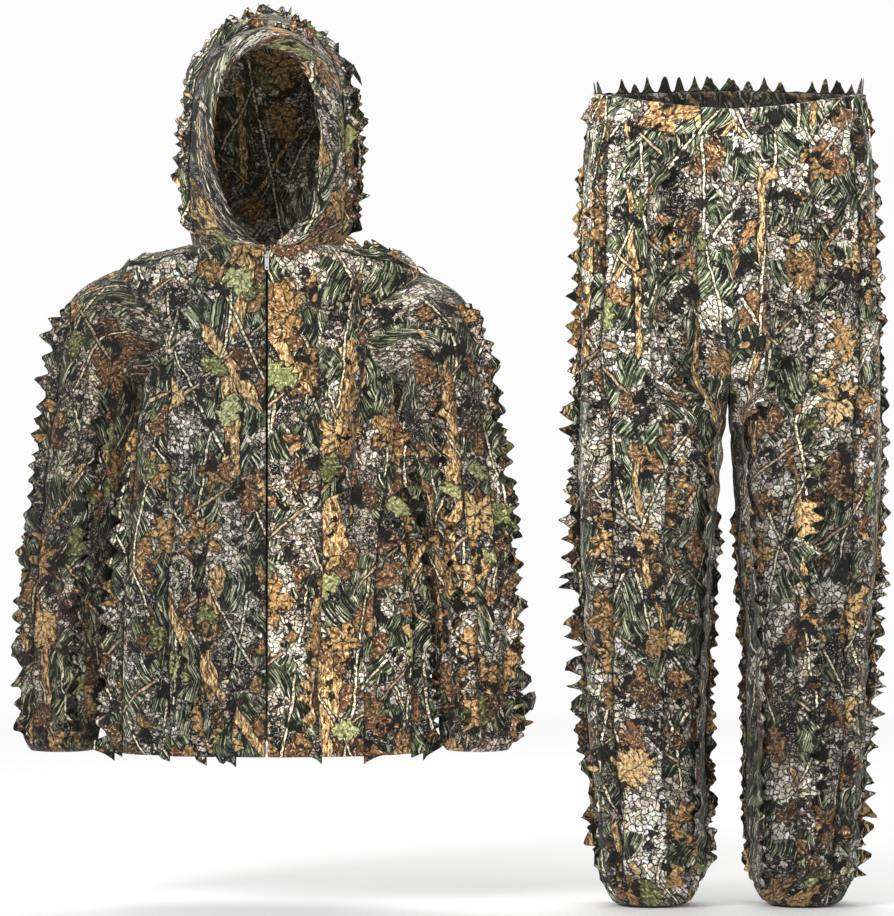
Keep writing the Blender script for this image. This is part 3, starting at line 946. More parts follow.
# ------------------------------------------------------------------ sleeves
NS = 96
SLV = {}
for side, label in ((1, "left"), (-1, "right")):
    a = np.linspace(0, 2 * np.pi, NS + 1) - np.pi / 2
    # columns start at the inner side, so that the sleeve's seam is hidden against the body
    a = a - np.pi / 2
    keys = []
    hy, hz = 76.0 * np.sin(a), ARM_Z + 76.0 * np.cos(a)
    keys.append(np.stack([torso_reach(hy, hz) - 16, hy, hz], axis=1))
    hy, hz = 75.0 * np.sin(a), ARM_Z + 75.0 * np.cos(a)
    keys.append(np.stack([np.minimum(190.5 + 15.5 * np.cos(a), torso_reach(hy, hz) + 40), hy, hz], axis=1))
    for ox, oz, ix, iz, y, dd in SLEEVE[1:]:
        c = np.cos(a)
        keys.append(np.stack([(ox + ix) / 2 + (ox - ix) / 2 * c, y + dd * np.sin(a), (oz + iz) / 2 + (oz - iz) / 2 * c], axis=1))
    for z in (604, 575, 548, 520, 490, 460, 430, 400, 370, 340, 310, 285, 262, 246, 232):
        keys.append(np.stack([low_x(z) + low_w(z) * np.cos(a), low_y(z) + low_d(z) * np.sin(a), z + 0 * a], axis=1))
    for z, g in ((226, 0.5), (218, 0.8), (211, 0.2), (208.2, -1.6)):
        keys.append(np.stack([low_x(z) + (low_w(z) + g) * np.cos(a), low_y(z) + (low_d(z) + g) * np.sin(a), z + 0 * a], axis=1))
    P = densify(keys, 5.6)
    P[..., 0] *= side
    sh = Sheet(P, wrap=True)
    if sh.N[len(P) // 2, 3 * NS // 8 * 0, 0] * side > 0:
        sh = Sheet(P, wrap=True, flip=True)
    Z = sh.P[..., 2]
    A = np.broadcast_to(a, Z.shape)
    ca, sa = np.cos(A) * 2.0, np.sin(A) * 2.0
    seed = 40 if side > 0 else 60
    rowm = Z.mean(axis=1, keepdims=True) + 0 * Z
    # folds round the elbow and the armpit, long folds down the sleeve
    bend = np.exp(-((rowm - 500) / 90) ** 2) * (0.45 + 0.55 * np.clip(-np.sin(A), 0, 1)) * np.sin(rowm * 0.125 + 2.4 * fbm(ca * 0.7, sa * 0.7, rowm * 0.006, 2, seed) + 1.0 * np.sin(A)) * 3.0
    armp = np.exp(-((rowm - 665) / 70) ** 2) * np.sin(rowm * 0.13 + 1.6 * np.cos(A * 1.0) + 1.8 * fbm(ca, sa, rowm * 0.008, 2, seed + 1)) * 2.6 * (0.4 + 0.6 * np.clip(-np.cos(A), 0, 1))
    low = np.exp(-((rowm - 275) / 60) ** 2) * np.sin(rowm * 0.17 + 2.0 * fbm(ca, sa, rowm * 0.012, 2, seed + 2)) * 2.4
    long_ = 3.0 * fbm(ca * 1.1, sa * 1.1, rowm * 0.004, 3, seed + 3)
    cr = 1.2 * fbm(ca * 2.6, sa * 2.6, rowm * 0.03, 3, seed + 4)
    gather = sstep(292, 236, rowm) * (1.5 * np.cos(A * 17 + 2.0 * noise3(ca, sa, 1.0, seed)) + 0.9 * np.cos(A * 29 + 3 * noise3(ca, sa, 5.0, seed)))
    d = bend + armp + low + long_ + cr
    d = np.clip(d, -5, 6) * sstep(0, 1, (845 - rowm) / 60) * sstep(226, 262, rowm) + gather * sstep(206, 222, rowm) + 1.2 * sstep(262, 232, rowm)
    d -= 2.2 * np.exp(-((rowm - 231) / 2.4) ** 2)
    inner = np.clip(-np.cos(A), 0, 1) ** 2
    d = np.where(Z < 700, np.minimum(d, 6 - 3.6 * inner), d)
    d = np.where((Z < 700) & (Z > 262), np.maximum(d, np.where(inner > 0.4, 2.4 * inner, -9)), d)
    sh.push(d)
    sh.P[..., 0] += JX
    sh.refresh()
    SLV[side] = sh
    js = int(np.argmax(sh.P[:, 0, 2] < 590))
    jc = int(np.argmax(sh.P[:, 0, 2] < 231))
    nj = len(sh.P) - 1
    for part, j0, j1, nodes, thick in (("upper", 0, js, ["sleeve_upper_" + label], 1.6), ("lower", js, jc, ["sleeve_forearm_" + label], 1.6), ("cuff", jc, nj, ["cuff_casing_" + label], 6.0)):
        V, N_, F, UV = sh.grid_mesh(j0=j0, j1=j1, uv0=(1.0 + side, 5.0), col=NS // 2, row=nj)
        ob = closed_object("sleeve_" + part + "_cloth_" + label, V, N_, F, UV, thick, (M["sleeve_" + label], M["inside"]))
        if part == "upper":
            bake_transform(ob)
        elif part == "lower":
            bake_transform(ob)
        else:
            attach(ob, "forearm_" + label)
        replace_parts(ob, *nodes)

# ------------------------------------------------------------------ hood


def to_hood(ob):
    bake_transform(ob)
    return ob


def hood_pt(ang, z, grow=0.0):
    w, yf, yb = hood_w(z) + grow, hood_f(z) - grow, hood_b(z) + grow
    e = 2 / 2.2
    return np.stack([w * spow(np.sin(ang), e), (yf + yb) / 2 - (yb - yf) / 2 * spow(np.cos(ang), e), z + 0 * ang], axis=-1)


def face_ang(z):
    h = np.where(z < 1137.0, np.maximum(face_half(np.minimum(z, 1137.0)), 0.0), 0.0)
    return np.arcsin(np.clip(h / hood_w(z), 0, 1) ** 1.1)


# the line of the face opening, from the throat up over the brow and down again
fz = np.concatenate([np.linspace(880.5, 1120, 200), np.linspace(1121, 1137, 60)])
loop = np.stack([np.maximum(face_half(fz), 0), fz], axis=1)
loop[-1, 0] = 0
full = np.concatenate([loop, loop[-2::-1] * [-1, 1]])
s = np.concatenate([[0], np.cumsum(np.hypot(*np.diff(full, axis=0).T))])
NLOOP = 240
q = np.linspace(0, s[-1], NLOOP + 1)
lx, lz = np.interp(q, s, full[:, 0]), np.interp(q, s, full[:, 1])
for _ in range(12):
    lx[1:-1] = (lx[:-2] + 2 * lx[1:-1] + lx[2:]) / 4
    lz[1:-1] = (lz[:-2] + 2 * lz[1:-1] + lz[2:]) / 4
tx, tz_ = np.gradient(lx), np.gradient(lz)
tl = np.hypot(tx, tz_)
ox, oz = tz_ / tl, -tx / tl  # away from the opening (the loop runs up the wearer's left side first)

hz = np.concatenate([arc_zs(874.0, 1112, hood_w, 5.0), np.arange(1114, 1139.5, 1.2), arc_zs(1140, 1183, hood_w, 4.5)])
NH = 150
rows = []
for z in hz:
    f0 = float(face_ang(np.array(z)))
    tt = spaced(lambda q: hood_pt(-f0 - q * (2 * np.pi - 2 * f0), z), NH)
    rows.append(hood_pt(-f0 - tt * (2 * np.pi - 2 * f0), z))
HOO = Sheet(np.array(rows))
if HOO.N[len(hz) // 3, NH // 2, 1] < 0:
    HOO = Sheet(HOO.P, flip=True)
X, Y, Z = HOO.P[..., 0], HOO.P[..., 1], HOO.P[..., 2]
hood_d = 2.6 * fbm(X * 0.014, Y * 0.014, Z * 0.010, 3, 77) + 1.0 * fbm(X * 0.04, Y * 0.04, Z * 0.04, 2, 78)
hood_d += 1.6 * np.exp(-((Z - 905) / 26) ** 2) * np.sin(np.arctan2(X, -Y) * 19 + 2 * noise3(X * 0.02, Y * 0.02, 0.3, 4)) * (Y > -60)
hood_d *= sstep(874, 890, Z)
hood_d -= 1.5 * np.exp(-(X / 1.8) ** 2) * ((Y > 0) | (Z > 1140))
hood_d += 0.9 * np.exp(-((np.abs(X) - 5.0) / 3.0) ** 2) * ((Y > 0) | (Z > 1140))
near_face = np.sqrt(((X[..., None] - lx) ** 2 + (Z[..., None] - lz) ** 2).min(axis=-1))
edge_fade = np.where(Y < 0, 1 - np.exp(-((near_face / 30) ** 2)), 1.0)
hood_d = np.clip(hood_d, -4.5, 5.5) * edge_fade
HOO.push(hood_d)
HOO.P[:, -1] = np.where((HOO.P[:, -1, 2:3] > 1137.5), HOO.P[:, 0], HOO.P[:, -1])
HOO.P[..., 0] += JX
HOO.refresh()
mid_c = NH // 2
for name, a, b, node in (("hood_cloth_right", 0, mid_c, "hood_panel_right"), ("hood_cloth_left", mid_c, NH, "hood_panel_left")):
    V, N_, F, UV = HOO.grid_mesh(a, b, uv0=(2.0, 8.0), col=mid_c)
    ob = closed_object(name, V, N_, F, UV, 1.6, (M["hood_right"] if a == 0 else M["hood"], M["lining"]))
    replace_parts(to_hood(ob), node)


# face hem: a wide folded band whose inner edge is a rolled channel for the cord
def hood_front(x, z):
    w, yf, yb = hood_w(z), hood_f(z), hood_b(z)
    f = np.clip(np.abs(x) / np.maximum(w, 1), 0, 0.999)
    return (yf + yb) / 2 - (yb - yf) / 2 * (1 - f**2.2) ** (1 / 2.2)


def face_sheet(offsets, lifts, wob=0.0):
    """Sheet along the face opening: offsets from the edge (mm, + outwards), lifts above the hood cloth."""
    P = np.empty((NLOOP + 1, len(offsets), 3))
    for k, (o, l) in enumerate(zip(offsets, lifts)):
        low_in = sstep(0, 14, np.minimum(np.arange(NLOOP + 1), NLOOP - np.arange(NLOOP + 1)))
        oo = o * (0.35 + 0.65 * low_in)
        x, z = lx + ox * oo, lz + oz * oo
        x = np.where(np.arange(NLOOP + 1) < 20, np.maximum(x, 1.2), x)
        x = np.where(np.arange(NLOOP + 1) > NLOOP - 20, np.minimum(x, -1.2), x)
        P[:, k] = np.stack([x, hood_front(x, z) - l, z], axis=1)
    return P


prof = [(0.4, -5.0), (-1.4, -2.0), (-1.4, 1.2), (0.2, 3.8), (3.0, 4.8), (6.0, 4.2), (8.0, 2.7), (9.2, 2.2), (11.6, 3.3), (14.4, 3.9), (17.4, 3.9), (20, 3.6), (21.8, 2.8), (22.8, 1.4), (23.2, -0.5)]
FB = Sheet(face_sheet([p[0] for p in prof], [p[1] for p in prof]))
if FB.N[NLOOP // 2, 4, 1] > 0:
    FB = Sheet(FB.P, flip=True)
nn = np.arange(NLOOP + 1)[:, None]
w_in = np.interp(np.arange(len(prof)), [0, 4, 7, 11, 14], [0.6, 1.0, 0.35, 0.8, 0.0])[None, :]
FB.push((0.7 * np.sin(nn * 1.55 + 2.2 * noise3(nn * 0.11, 0.5, 0.5, 8)) + 0.6 * noise3(nn * 0.35, np.arange(len(prof))[None, :] * 0.4, 2.5, 9)) * w_in)
FB.P[..., 0] += JX
FB.refresh()
V, N_, F, UV = FB.grid_mesh(uv0=(4.0, 8.6))
ob = closed_object("hood_face_hem", V, N_, F, UV, 1.2, (M["hood"], M["lining"]))
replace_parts(to_hood(ob), "hood_face_band")


def tube(name, path, radius, mat, sides=8, closed=False, twist=0.0):
    """A round cord along points (mm), closed ends."""
    path = np.asarray(path, float)
    n = len(path)
    tan = np.gradient(path, axis=0)
    tan /= np.linalg.norm(tan, axis=1, keepdims=True)
    up = np.array([0, 1.0, 0.02])
    a = np.cross(tan, up)
    a /= np.maximum(np.linalg.norm(a, axis=1, keepdims=True), 1e-6)
    b = np.cross(tan, a)
    k = np.arange(sides) / sides * 2 * np.pi
    r = np.broadcast_to(radius, (n,))
    V = path[:, None] + r[:, None, None] * (np.cos(k)[None, :, None] * a[:, None] + np.sin(k)[None, :, None] * b[:, None])
    V = V.reshape(-1, 3)
    F = []
    for j in range(n - 1):
        for i in range(sides):
            i2 = (i + 1) % sides
            F.append((j * sides + i, j * sides + i2, (j + 1) * sides + i2, (j + 1) * sides + i))
    F.append(tuple(range(sides))[::-1])
    F.append(tuple((n - 1) * sides + i for i in range(sides)))
    me = bpy.data.meshes.new(name)
    me.from_pydata((V * MM).tolist(), [], F)
    me.update()
    import bmesh
    bm = bmesh.new()
    bm.from_mesh(me)
    bmesh.ops.recalc_face_normals(bm, faces=bm.faces)
    bm.to_mesh(me)
    bm.free()
    me.uv_layers.new(name="UVMap")
    me.polygons.foreach_set("use_smooth", np.ones(len(me.polygons), dtype=bool))
    me.materials.append(mat)
    ob = bpy.data.objects.new(name, me)
    bpy.context.scene.collection.objects.link(ob)
    return ob


cord = face_sheet([3.0], [1.75])[:, 0] + [JX, 0, 0]
ob = tube("hood_cord", cord[4:-4], 1.5, M["elastic"])
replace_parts(to_hood(ob), "hood_elastic_cord")

# ------------------------------------------------------------------ trousers


def hip_pt(share, z):
    close = np.clip((804 - z) / 150, 0, 1) ** 2.2
    e = 2 / 2.4
    t = share * np.pi
    hx, hy = hip_w(z) * np.sin(t) ** e, -hip_d(z) * spow(np.cos(t), e)
    la, lb = 200.0 / 2 - 1.2, 102.0
    lt = -np.pi + share * 2 * np.pi
    lx_ = la + 1.2 + la * spow(np.cos(lt), 2 / 2.15)
    ly_ = lb * spow(np.sin(lt), 2 / 2.15)
    return np.stack([np.maximum(hx + (lx_ - hx) * close, 0), hy + (ly_ - hy) * close, z + 0 * share], axis=-1)


def waist_z(share):
    s = np.clip(np.sin(share * np.pi), 0, 1) ** 1.3
    return np.where(share < 0.5, 1055 + 22 * s, 1084 - 7 * s)


def leg_pt(share, z):
    o, i0, b = leg_o(z), leg_i(z), leg_d(z)
    t = -np.pi + share * 2 * np.pi
    return np.stack([(o + i0) / 2 + (o - i0) / 2 * spow(np.cos(t), 2 / 2.15), b * spow(np.sin(t), 2 / 2.15), z + 0 * share], axis=-1)


NT = 128
LEGS, LEX = {}, {}
for side, label in ((1, "left"), (-1, "right")):
    rows = []
    ks = np.linspace(1, 0, 64)
    for k in ks:
        zf = lambda sh: 655 + (waist_z(sh) - BAND_H + 4 - 655) * k
        sh_ = spaced(lambda q: hip_pt(q, zf(q)), NT)
        rows.append(hip_pt(sh_, zf(sh_)))
    for z in np.concatenate([np.linspace(648, 44, 102), [38, 33, 29, 25, 19, 12, 6, 2.5, 0.9]]):
        sh_ = spaced(lambda q: leg_pt(q, z), NT)
        rows.append(leg_pt(sh_, z))
    P = np.array(rows)
    # ease the seam between the hip and leg sections
    for _ in range(6):
        P[58:74] = (P[57:73] + 2 * P[58:74] + P[59:75]) / 4
    P[:, :, 0] *= side
    sh = Sheet(P)
    mid_j = len(P) // 2
    if sh.N[mid_j, NT // 2, 0] * side < 0:
        sh = Sheet(P, flip=True)
    X, Y, Z = sh.P[..., 0], sh.P[..., 1], sh.P[..., 2]
    share = np.linspace(0, 1, NT + 1)[None, :] + 0 * Z
    cs, sn = np.cos(share * 2 * np.pi) * 1.6, np.sin(share * 2 * np.pi) * 1.6
    seed = 140 if side > 0 else 170
    zr = Z
    long_ = 3.6 * fbm(cs * 1.2, sn * 1.2, zr * 0.0036, 3, seed) + 1.6 * fbm(cs * 2.6, sn * 2.6, zr * 0.006, 2, seed + 1)
    knee = np.exp(-((zr - 345) / 95) ** 2) * np.sin(zr * 0.105 + 2.0 * fbm(cs, sn, zr * 0.006, 2, seed + 2) + 1.1 * np.cos(share * 2 * np.pi)) * 2.4
    anke = np.exp(-((zr - 95) / 62) ** 2) * np.sin(zr * 0.15 + 2.2 * fbm(cs, sn, zr * 0.010, 2, seed + 3)) * 3.0
    crotch = np.exp(-((np.hypot(X, Z - 660)) / 130) ** 2) * np.sin((Z - 0.9 * np.abs(X)) * 0.13 + fbm(X * 0.01, Y * 0.01, Z * 0.01, 2, seed + 4)) * 2.6
    cr = 1.3 * fbm(cs * 4, sn * 4, zr * 0.028, 3, seed + 5)
    wg = sstep(960, 1035, Z) * (2.2 * np.cos(share * 2 * np.pi * 17 + 2.5 * noise3(cs * 2, sn * 2, 1.0, seed)) + 1.2 * np.cos(share * 2 * np.pi * 29 + 2.0))
    ag = sstep(95, 35, Z) * (1.9 * np.cos(share * 2 * np.pi * 15 + 2.5 * noise3(cs, sn, 1.0, seed)) + 1.0 * np.cos(share * 2 * np.pi * 26 + 1.0))
    d = np.clip(long_ + knee + anke + crotch + cr, -6, 6.5)
    d = d * sstep(26, 70, Z) * (1 - 0.6 * sstep(950, 1030, Z)) + wg * 0.8 + ag * sstep(-4, 12, Z) * 0.9
    d -= 2.0 * np.exp(-((Z - 29) / 2.2) ** 2)
    d -= 2.4 * sstep(7, 1, Z)
    # seams down the sides, and along the middle above the crotch
    d -= 1.3 * np.exp(-((share - 0.5) * NT / 0.7) ** 2)
    edge = np.minimum(share, 1 - share) * NT
    up = Z > 652
    d = np.where(up, d * (1 - np.exp(-(edge / 2.5) ** 2)), d)
    d = np.where(~up, d * sstep(0, 1, edge / 4.0) * 1.0 + (np.minimum(d, 2.0) * (1 - sstep(0, 1, edge / 4.0))), d)
    d[:, -1] = np.where(Z[:, 0] < 652, (d[:, 0] + d[:, -1]) / 2, d[:, -1])
    d[:, 0] = np.where(Z[:, 0] < 652, d[:, -1], d[:, 0])
    inner_lim = np.where((np.abs(X) < 30) & ~up, np.minimum(d, 1.5), d)
    sh.N[:, 0] = np.where((Z[:, :1] < 655), sh.N[:, 0] + sh.N[:, -1], sh.N[:, 0])
    sh.N[:, 0] /= np.linalg.norm(sh.N[:, 0], axis=1, keepdims=True)
    sh.N[:, -1] = np.where((Z[:, :1] < 655), sh.N[:, 0], sh.N[:, -1])
    sh.push(inner_lim)
    sh.P[..., 0] = np.where(side * sh.P[..., 0] < 0.0, 0.0, sh.P[..., 0])
    low_rows = sh.P[:, 0, 2] < 652
    sh.P[low_rows, -1] = sh.P[low_rows, 0]
    sh.P[..., 0] += TX
    sh.refresh()
    LEGS[side] = sh
    # the same surface carried up over the waistband, for the strips that start at the waist
    top = []
    for drop in (2, 8, 14, 20, 26):
        sh_ = spaced(lambda q: hip_pt(q, waist_z(q) - drop), NT)
        r = hip_pt(sh_, waist_z(sh_) - drop)
        r[:, 0] = (r[:, 0] + 2.2 * np.sin(sh_ * np.pi)) * side + TX
        r[:, 1] *= 1.02
        top.append(r)
    LEX[side] = Sheet(np.concatenate([np.array(top), sh.P]), flip=sh.flip)
    zc = sh.P[:, NT // 2, 2]
    js, jc, nj = int(np.argmax(zc < 450)), int(np.argmax(zc < 30)), len(sh.P) - 1
    for part, j0, j1, nodes, thick in (
        ("upper", 0, js, ["trouser_front_" + label, "trouser_back_" + label, "thigh_" + label], 1.6),
        ("lower", js, jc, ["shin_" + label], 1.6),
        ("ankle", jc, nj, ["ankle_casing_" + label], 6.0),
    ):
        V, N_, F, UV = sh.grid_mesh(j0=j0, j1=j1, uv0=(5.0 + side, 11.0), col=NT // 2, row=nj)
        ob = closed_object("trouser_" + part + "_cloth_" + label, V, N_, F, UV, thick, (M["trouser_" + label], M["inside"]))
        if part == "upper":
            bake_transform(ob)
        elif part == "lower":
            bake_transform(ob)
        else:
            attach(ob, "shin_" + label)
        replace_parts(ob, *nodes)

# waistband: gathered over its elastic
NW = 360
a = np.linspace(0, 2 * np.pi, NW + 1)
side = np.where(np.sin(a) >= 0, 1, -1)
share = np.arccos(np.clip(np.cos(a), -1, 1)) / np.pi
rows = []
for f in np.concatenate([np.linspace(0, 1, 9), [1.0]]):
    drop = 2 + (BAND_H + 2 - 2) * f if f > 0 else 0.6
    z = waist_z(share) - drop
    e = 2 / 2.4
    rows.append(np.stack([side * (hip_w(z) + 1.2) * np.sin(share * np.pi) ** e, -hip_d(z) * spow(np.cos(share * np.pi), e), z], axis=1))
rows = rows[:-1]
WB = Sheet(np.array(rows), wrap=True)
if WB.N[4, NW // 4, 0] < 0:
    WB = Sheet(WB.P, wrap=True, flip=True)
j = np.arange(len(rows))[:, None] / (len(rows) - 1)
th = a[None, :] + 0 * j
g = 1.5 * np.cos(th * 43 + 1.6 * noise3(np.cos(th) * 6, np.sin(th) * 6, 0.5, 3)) + 0.9 * np.cos(th * 71 + 1.2 * noise3(np.cos(th) * 9, np.sin(th) * 9, j * 2, 5)) + 0.8
g = g * (0.35 + 0.65 * np.sin(np.pi * np.clip(j * 0.9 + 0.08, 0, 1)) ** 0.6) + 1.0
g -= 1.9 * np.exp(-((j - 0.93) / 0.06) ** 2) + 1.4 * np.exp(-((j - 0.12) / 0.05) ** 2)
WB.push(g)
WB.P[..., 0] += TX
WB.refresh()
V, N_, F, UV = WB.grid_mesh(uv0=(8.0, 9.95))
ob = closed_object("waistband_cloth", V, N_, F, UV, 6.6, (M["trouser_right"], M["inside"]))
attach(ob, "trousers")
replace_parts(ob, "waistband_casing")

# ------------------------------------------------------------------ leaf-cut strips on the garments


def find(sheet, x, z, c0, c1):
    """(u, v) fractions of the grid point nearest to (x, z) among columns c0..c1. x in garment coordinates of the sheet."""
    P = sheet.P[:, c0 : c1 + 1]
    cost = (P[..., 0] - x) ** 2 + (P[..., 2] - z) ** 2
    j, i = np.unravel_index(int(np.argmin(cost)), cost.shape)
    return ((c0 + i) / (sheet.P.shape[1] - 1), j / (sheet.P.shape[0] - 1))


def trail(sheet, pts, c0, c1, n=14, wander=0.0, seed=0):
    """A path through (x, z) points, sampled and followed on the sheet."""
    pts = np.array(pts, float)
    k = np.linspace(0, 1, len(pts))
    q = np.linspace(0, 1, n)
    xs, zs = np.interp(q, k, pts[:, 0]), np.interp(q, k, pts[:, 1])
    xs = xs + wander * noise3(q * 4.3, seed * 1.7, 0.5, 900 + seed)
    return [find(sheet, x, z, c0, c1) for x, z in zip(xs, zs)]


# the body's surface carried on a little way below the hem, so that points can hang past it
ext = []
for z in (176.0, 182.0, 188.0, 194.0, 200.0):
    r = JAC.P[1].copy()
    r[:, 2] = z
    ext.append(r)
JEX = Sheet(np.concatenate([np.array(ext), JAC.P[1:]]), flip=JAC.flip)

S = Strips(501)
TEETH = dict(base=7, lobe=24, pitch=40, phi=(50, 96), lift=0.4, step=2.4, cols=5)
FLAP = dict(base=13, lobe=25, pitch=44, phi=(18, 74), lift=1.2, step=2.6, cols=5)
SOFT = dict(base=11, lobe=20, pitch=38, phi=(6, 34), lift=1.0, step=2.6, cols=5)

# wearer's right front: columns 0..cR, x from the middle outwards is negative
R_ = (0, cR)
L_ = (cL, NB)
B_ = (cR, cL)
jx = lambda pts: [(x + JX, z) for x, z in pts]
FR = Strips(511)
FR.add(JEX, trail(JEX, jx([(-68, 500), (-92, 390), (-84, 300), (-80, 197)]), *R_, wander=8, seed=1), +1, **dict(FLAP, lobe=20))
FR.add(JEX, trail(JEX, jx([(-120, 800), (-132, 640), (-122, 520), (-128, 400), (-126, 195)]), *R_, wander=7, seed=2), +1, **FLAP)
FR.add(JEX, trail(JEX, jx([(-166, 700), (-172, 600), (-180, 500), (-190, 400), (-190, 197)]), *R_, wander=3, seed=3), +1, **dict(FLAP, phi=(24, 70), base=15))
for st_, cols_, sx in ((FR, R_, -1), (FL := Strips(521), L_, 1)):
    st_.add(JEX, trail(JEX, jx([(sx * 203, 470), (sx * 204, 330), (sx * 203, 197)]), *cols_, wander=1, seed=31), 1 if sx < 0 else -1, **dict(TEETH, base=10, lobe=22, phi=(58, 88)))
FR.add(JEX, trail(JEX, jx([(-96, 868), (-150, 858), (-196, 844)]), *R_, n=8), +1, **dict(SOFT, lobe=18, base=9))
FR.add(JEX, trail(JEX, jx([(-36, 330), (-46, 250), (-40, 197)]), *R_, wander=4, seed=4), +1, **dict(SOFT, lobe=18))
FL.add(JEX, trail(JEX, jx([(60, 850), (74, 700), (66, 560), (76, 420), (70, 300), (78, 197)]), *L_, wander=8, seed=5), +1, **SOFT)
FL.add(JEX, trail(JEX, jx([(176, 724), (158, 620), (140, 500), (134, 380), (122, 280), (126, 195)]), *L_, wander=8, seed=6), -1, **dict(FLAP, lobe=26, base=15, phi=(16, 78)))
FL.add(JEX, trail(JEX, jx([(118, 842), (128, 742), (112, 620), (104, 500)]), *L_, wander=6, seed=7), +1, **FLAP)
FL.add(JEX, trail(JEX, jx([(166, 700), (172, 600), (180, 500), (190, 400), (190, 197)]), *L_, wander=3, seed=8), -1, **dict(FLAP, phi=(24, 70), base=15))
FL.add(JEX, trail(JEX, jx([(92, 868), (150, 857), (198, 843)]), *L_, n=8), -1, **dict(FLAP, lobe=28, base=15, phi=(10, 52), pitch=46, lift=2.2, shapes=(0, 1, 1, 3)))
FL.add(JEX, trail(JEX, jx([(100, 874), (158, 862), (196, 846)]), *L_, n=8), +1, **dict(FLAP, lobe=20, base=9, phi=(18, 66), pitch=42, lift=1.6, shapes=(1, 3, 3)))
BK = Strips(531)
for k, (x0, sd) in enumerate(((-168, 1), (-112, -1), (-56, 1), (0, -1), (56, 1), (112, -1), (168, -1))):
    top = 820 if abs(x0) < 130 else 660
    BK.add(JEX, trail(JEX, jx([(x0 * 0.92, top), (x0, 600), (x0 * 1.04, 400), (x0 * 1.03, 197)]), *B_, wander=9, seed=20 + k), sd, **dict(FLAP, lobe=21, phi=(10, 60)))
for st, name, node, mt in ((FR, "jacket_front_leaves_right", "front_leaf_strip_right", "strip_jr"), (FL, "jacket_front_leaves_left", "front_leaf_strip_left", "strip_j")):
    ob = st.build(name, (M[mt], M[mt]))
    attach(ob, "jacket")
    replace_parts(ob, node)
ob = BK.build("jacket_back_leaves", (M["strip_j"], M["strip_j"]))
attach(ob, "jacket")
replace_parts(ob, "back_leaf_strip_left", "back_leaf_strip_right")

# sleeves: u 0.5 is the outer side, 0.25 the front, 0.75 the back
for side, label in ((1, "left"), (-1, "right")):
    sh = SLV[side]
    zz = sh.P[:, NS // 2, 2]
    nj = len(zz) - 1
    vz = lambda z, col=NS // 2: float(np.argmin(np.abs(sh.P[:, col, 2] - z))) / nj
    v_split = js / nj if False else float(np.argmax(sh.P[:, 0, 2] < 590)) / nj
    up, lo = Strips(541 + side), Strips(551 + side)
    v_end = vz(213)
    vo = lambda z: vz(z)
    if side < 0:
        grow = [(vo(700), 0.06), (vo(655), 0.12), (vo(610), 0.5), (vo(560), 1.0), (vo(260), 1.0), (vo(215), 0.9)]
    else:
        grow = [(vo(760), 0.5), (vo(690), 0.95), (vo(330), 1.0), (vo(290), 1.4), (vo(215), 1.5)]
    plan = [
        (0.50, 0.115, 1, dict(TEETH, grow=grow, skip=0.22)),
        (0.50, 0.115, -1, dict(TEETH, base=4, lobe=12, phi=(60, 100), grow=grow, skip=0.3)),
        (0.385, 0.10, 1 if side > 0 else 1, dict(FLAP, lobe=22, phi=(16, 84))),
        (0.275, 0.15, -1, dict(FLAP, lobe=19, phi=(8, 46))),
        (0.615, 0.10, -1, dict(FLAP, lobe=21, phi=(14, 80))),
        (0.735, 0.15, 1, dict(FLAP, lobe=20)),
        (0.155, 0.20, 1, dict(SOFT, lobe=16, base=8)),
    ]
    for k, (u, v0, sd, kw) in enumerate(plan):
        w = 0.012
        pu = lambda v: u + w * float(noise3(v * 9.0, k * 1.3 + side, 0.7, 61))
        up.add(sh, [(pu(v), v) for v in np.linspace(v0, v_end, 20)], sd, then=(lo, v_split), **kw)
    mt = M["strip_j"] if side > 0 else M["strip_s"]
    ob = up.build("sleeve_upper_leaves_" + label, (mt, mt))
    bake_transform(ob)
    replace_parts(ob, "sleeve_leaf_strip_upper_" + label)
    ob = lo.build("sleeve_lower_leaves_" + label, (mt, mt))
    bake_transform(ob)
    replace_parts(ob, "sleeve_leaf_strip_forearm_" + label)

# hood
HS = Strips(571)
hz_n = len(HOO.P) - 1


def hood_trail(deg, z0, z1, n=16):
    out = []
    for z in np.linspace(z0, z1, n):
        j = int(np.argmin(np.abs(HOO.P[:, NH // 2, 2] - z)))
        ang_row = np.degrees(np.unwrap(np.arctan2(-(HOO.P[j, :, 0] - JX), -(HOO.P[j, :, 1] - 6.0))))
        if ang_row[-1] < ang_row[0]:
            ang_row = -ang_row
        i = int(np.argmin(np.abs(ang_row - deg)))
        out.append((i / NH, j / hz_n))
    return out


for deg, z1, sd, kw in (
    (90, 1178, 1, dict(TEETH, lobe=15, base=5, pitch=34, skip=0.2)),
    (268, 1178, -1, dict(TEETH, lobe=21, base=7, pitch=40, phi=(40, 92), skip=0.12)),
    (276, 1150, 1, dict(FLAP, lobe=15, base=7, phi=(40, 95), pitch=36)),
    (61, 1172, 1, dict(FLAP, lobe=15, base=8, phi=(20, 70))),
    (299, 1172, -1, dict(FLAP, lobe=15, base=8, phi=(20, 70))),
    (122, 1176, 1, dict(FLAP, lobe=19, base=10)),
    (238, 1176, -1, dict(FLAP, lobe=19, base=10)),
    (158, 1170, 1, dict(SOFT, lobe=18)),
    (202, 1170, -1, dict(SOFT, lobe=18)),
):
    HS.add(HOO, hood_trail(deg, 892, z1), sd, **kw)
# taller tips at the crown
for deg, z0, z1, sd, h in ((97, 1164, 1181, 1, 15), (262, 1158, 1179, -1, 9), (292, 1172, 1182, -1, 14)):
    HS.add(HOO, hood_trail(deg, z0, z1, 6), sd, **dict(TEETH, base=5, lobe=h, pitch=20, phi=(72, 96), shapes=(2, 3), taper=4))
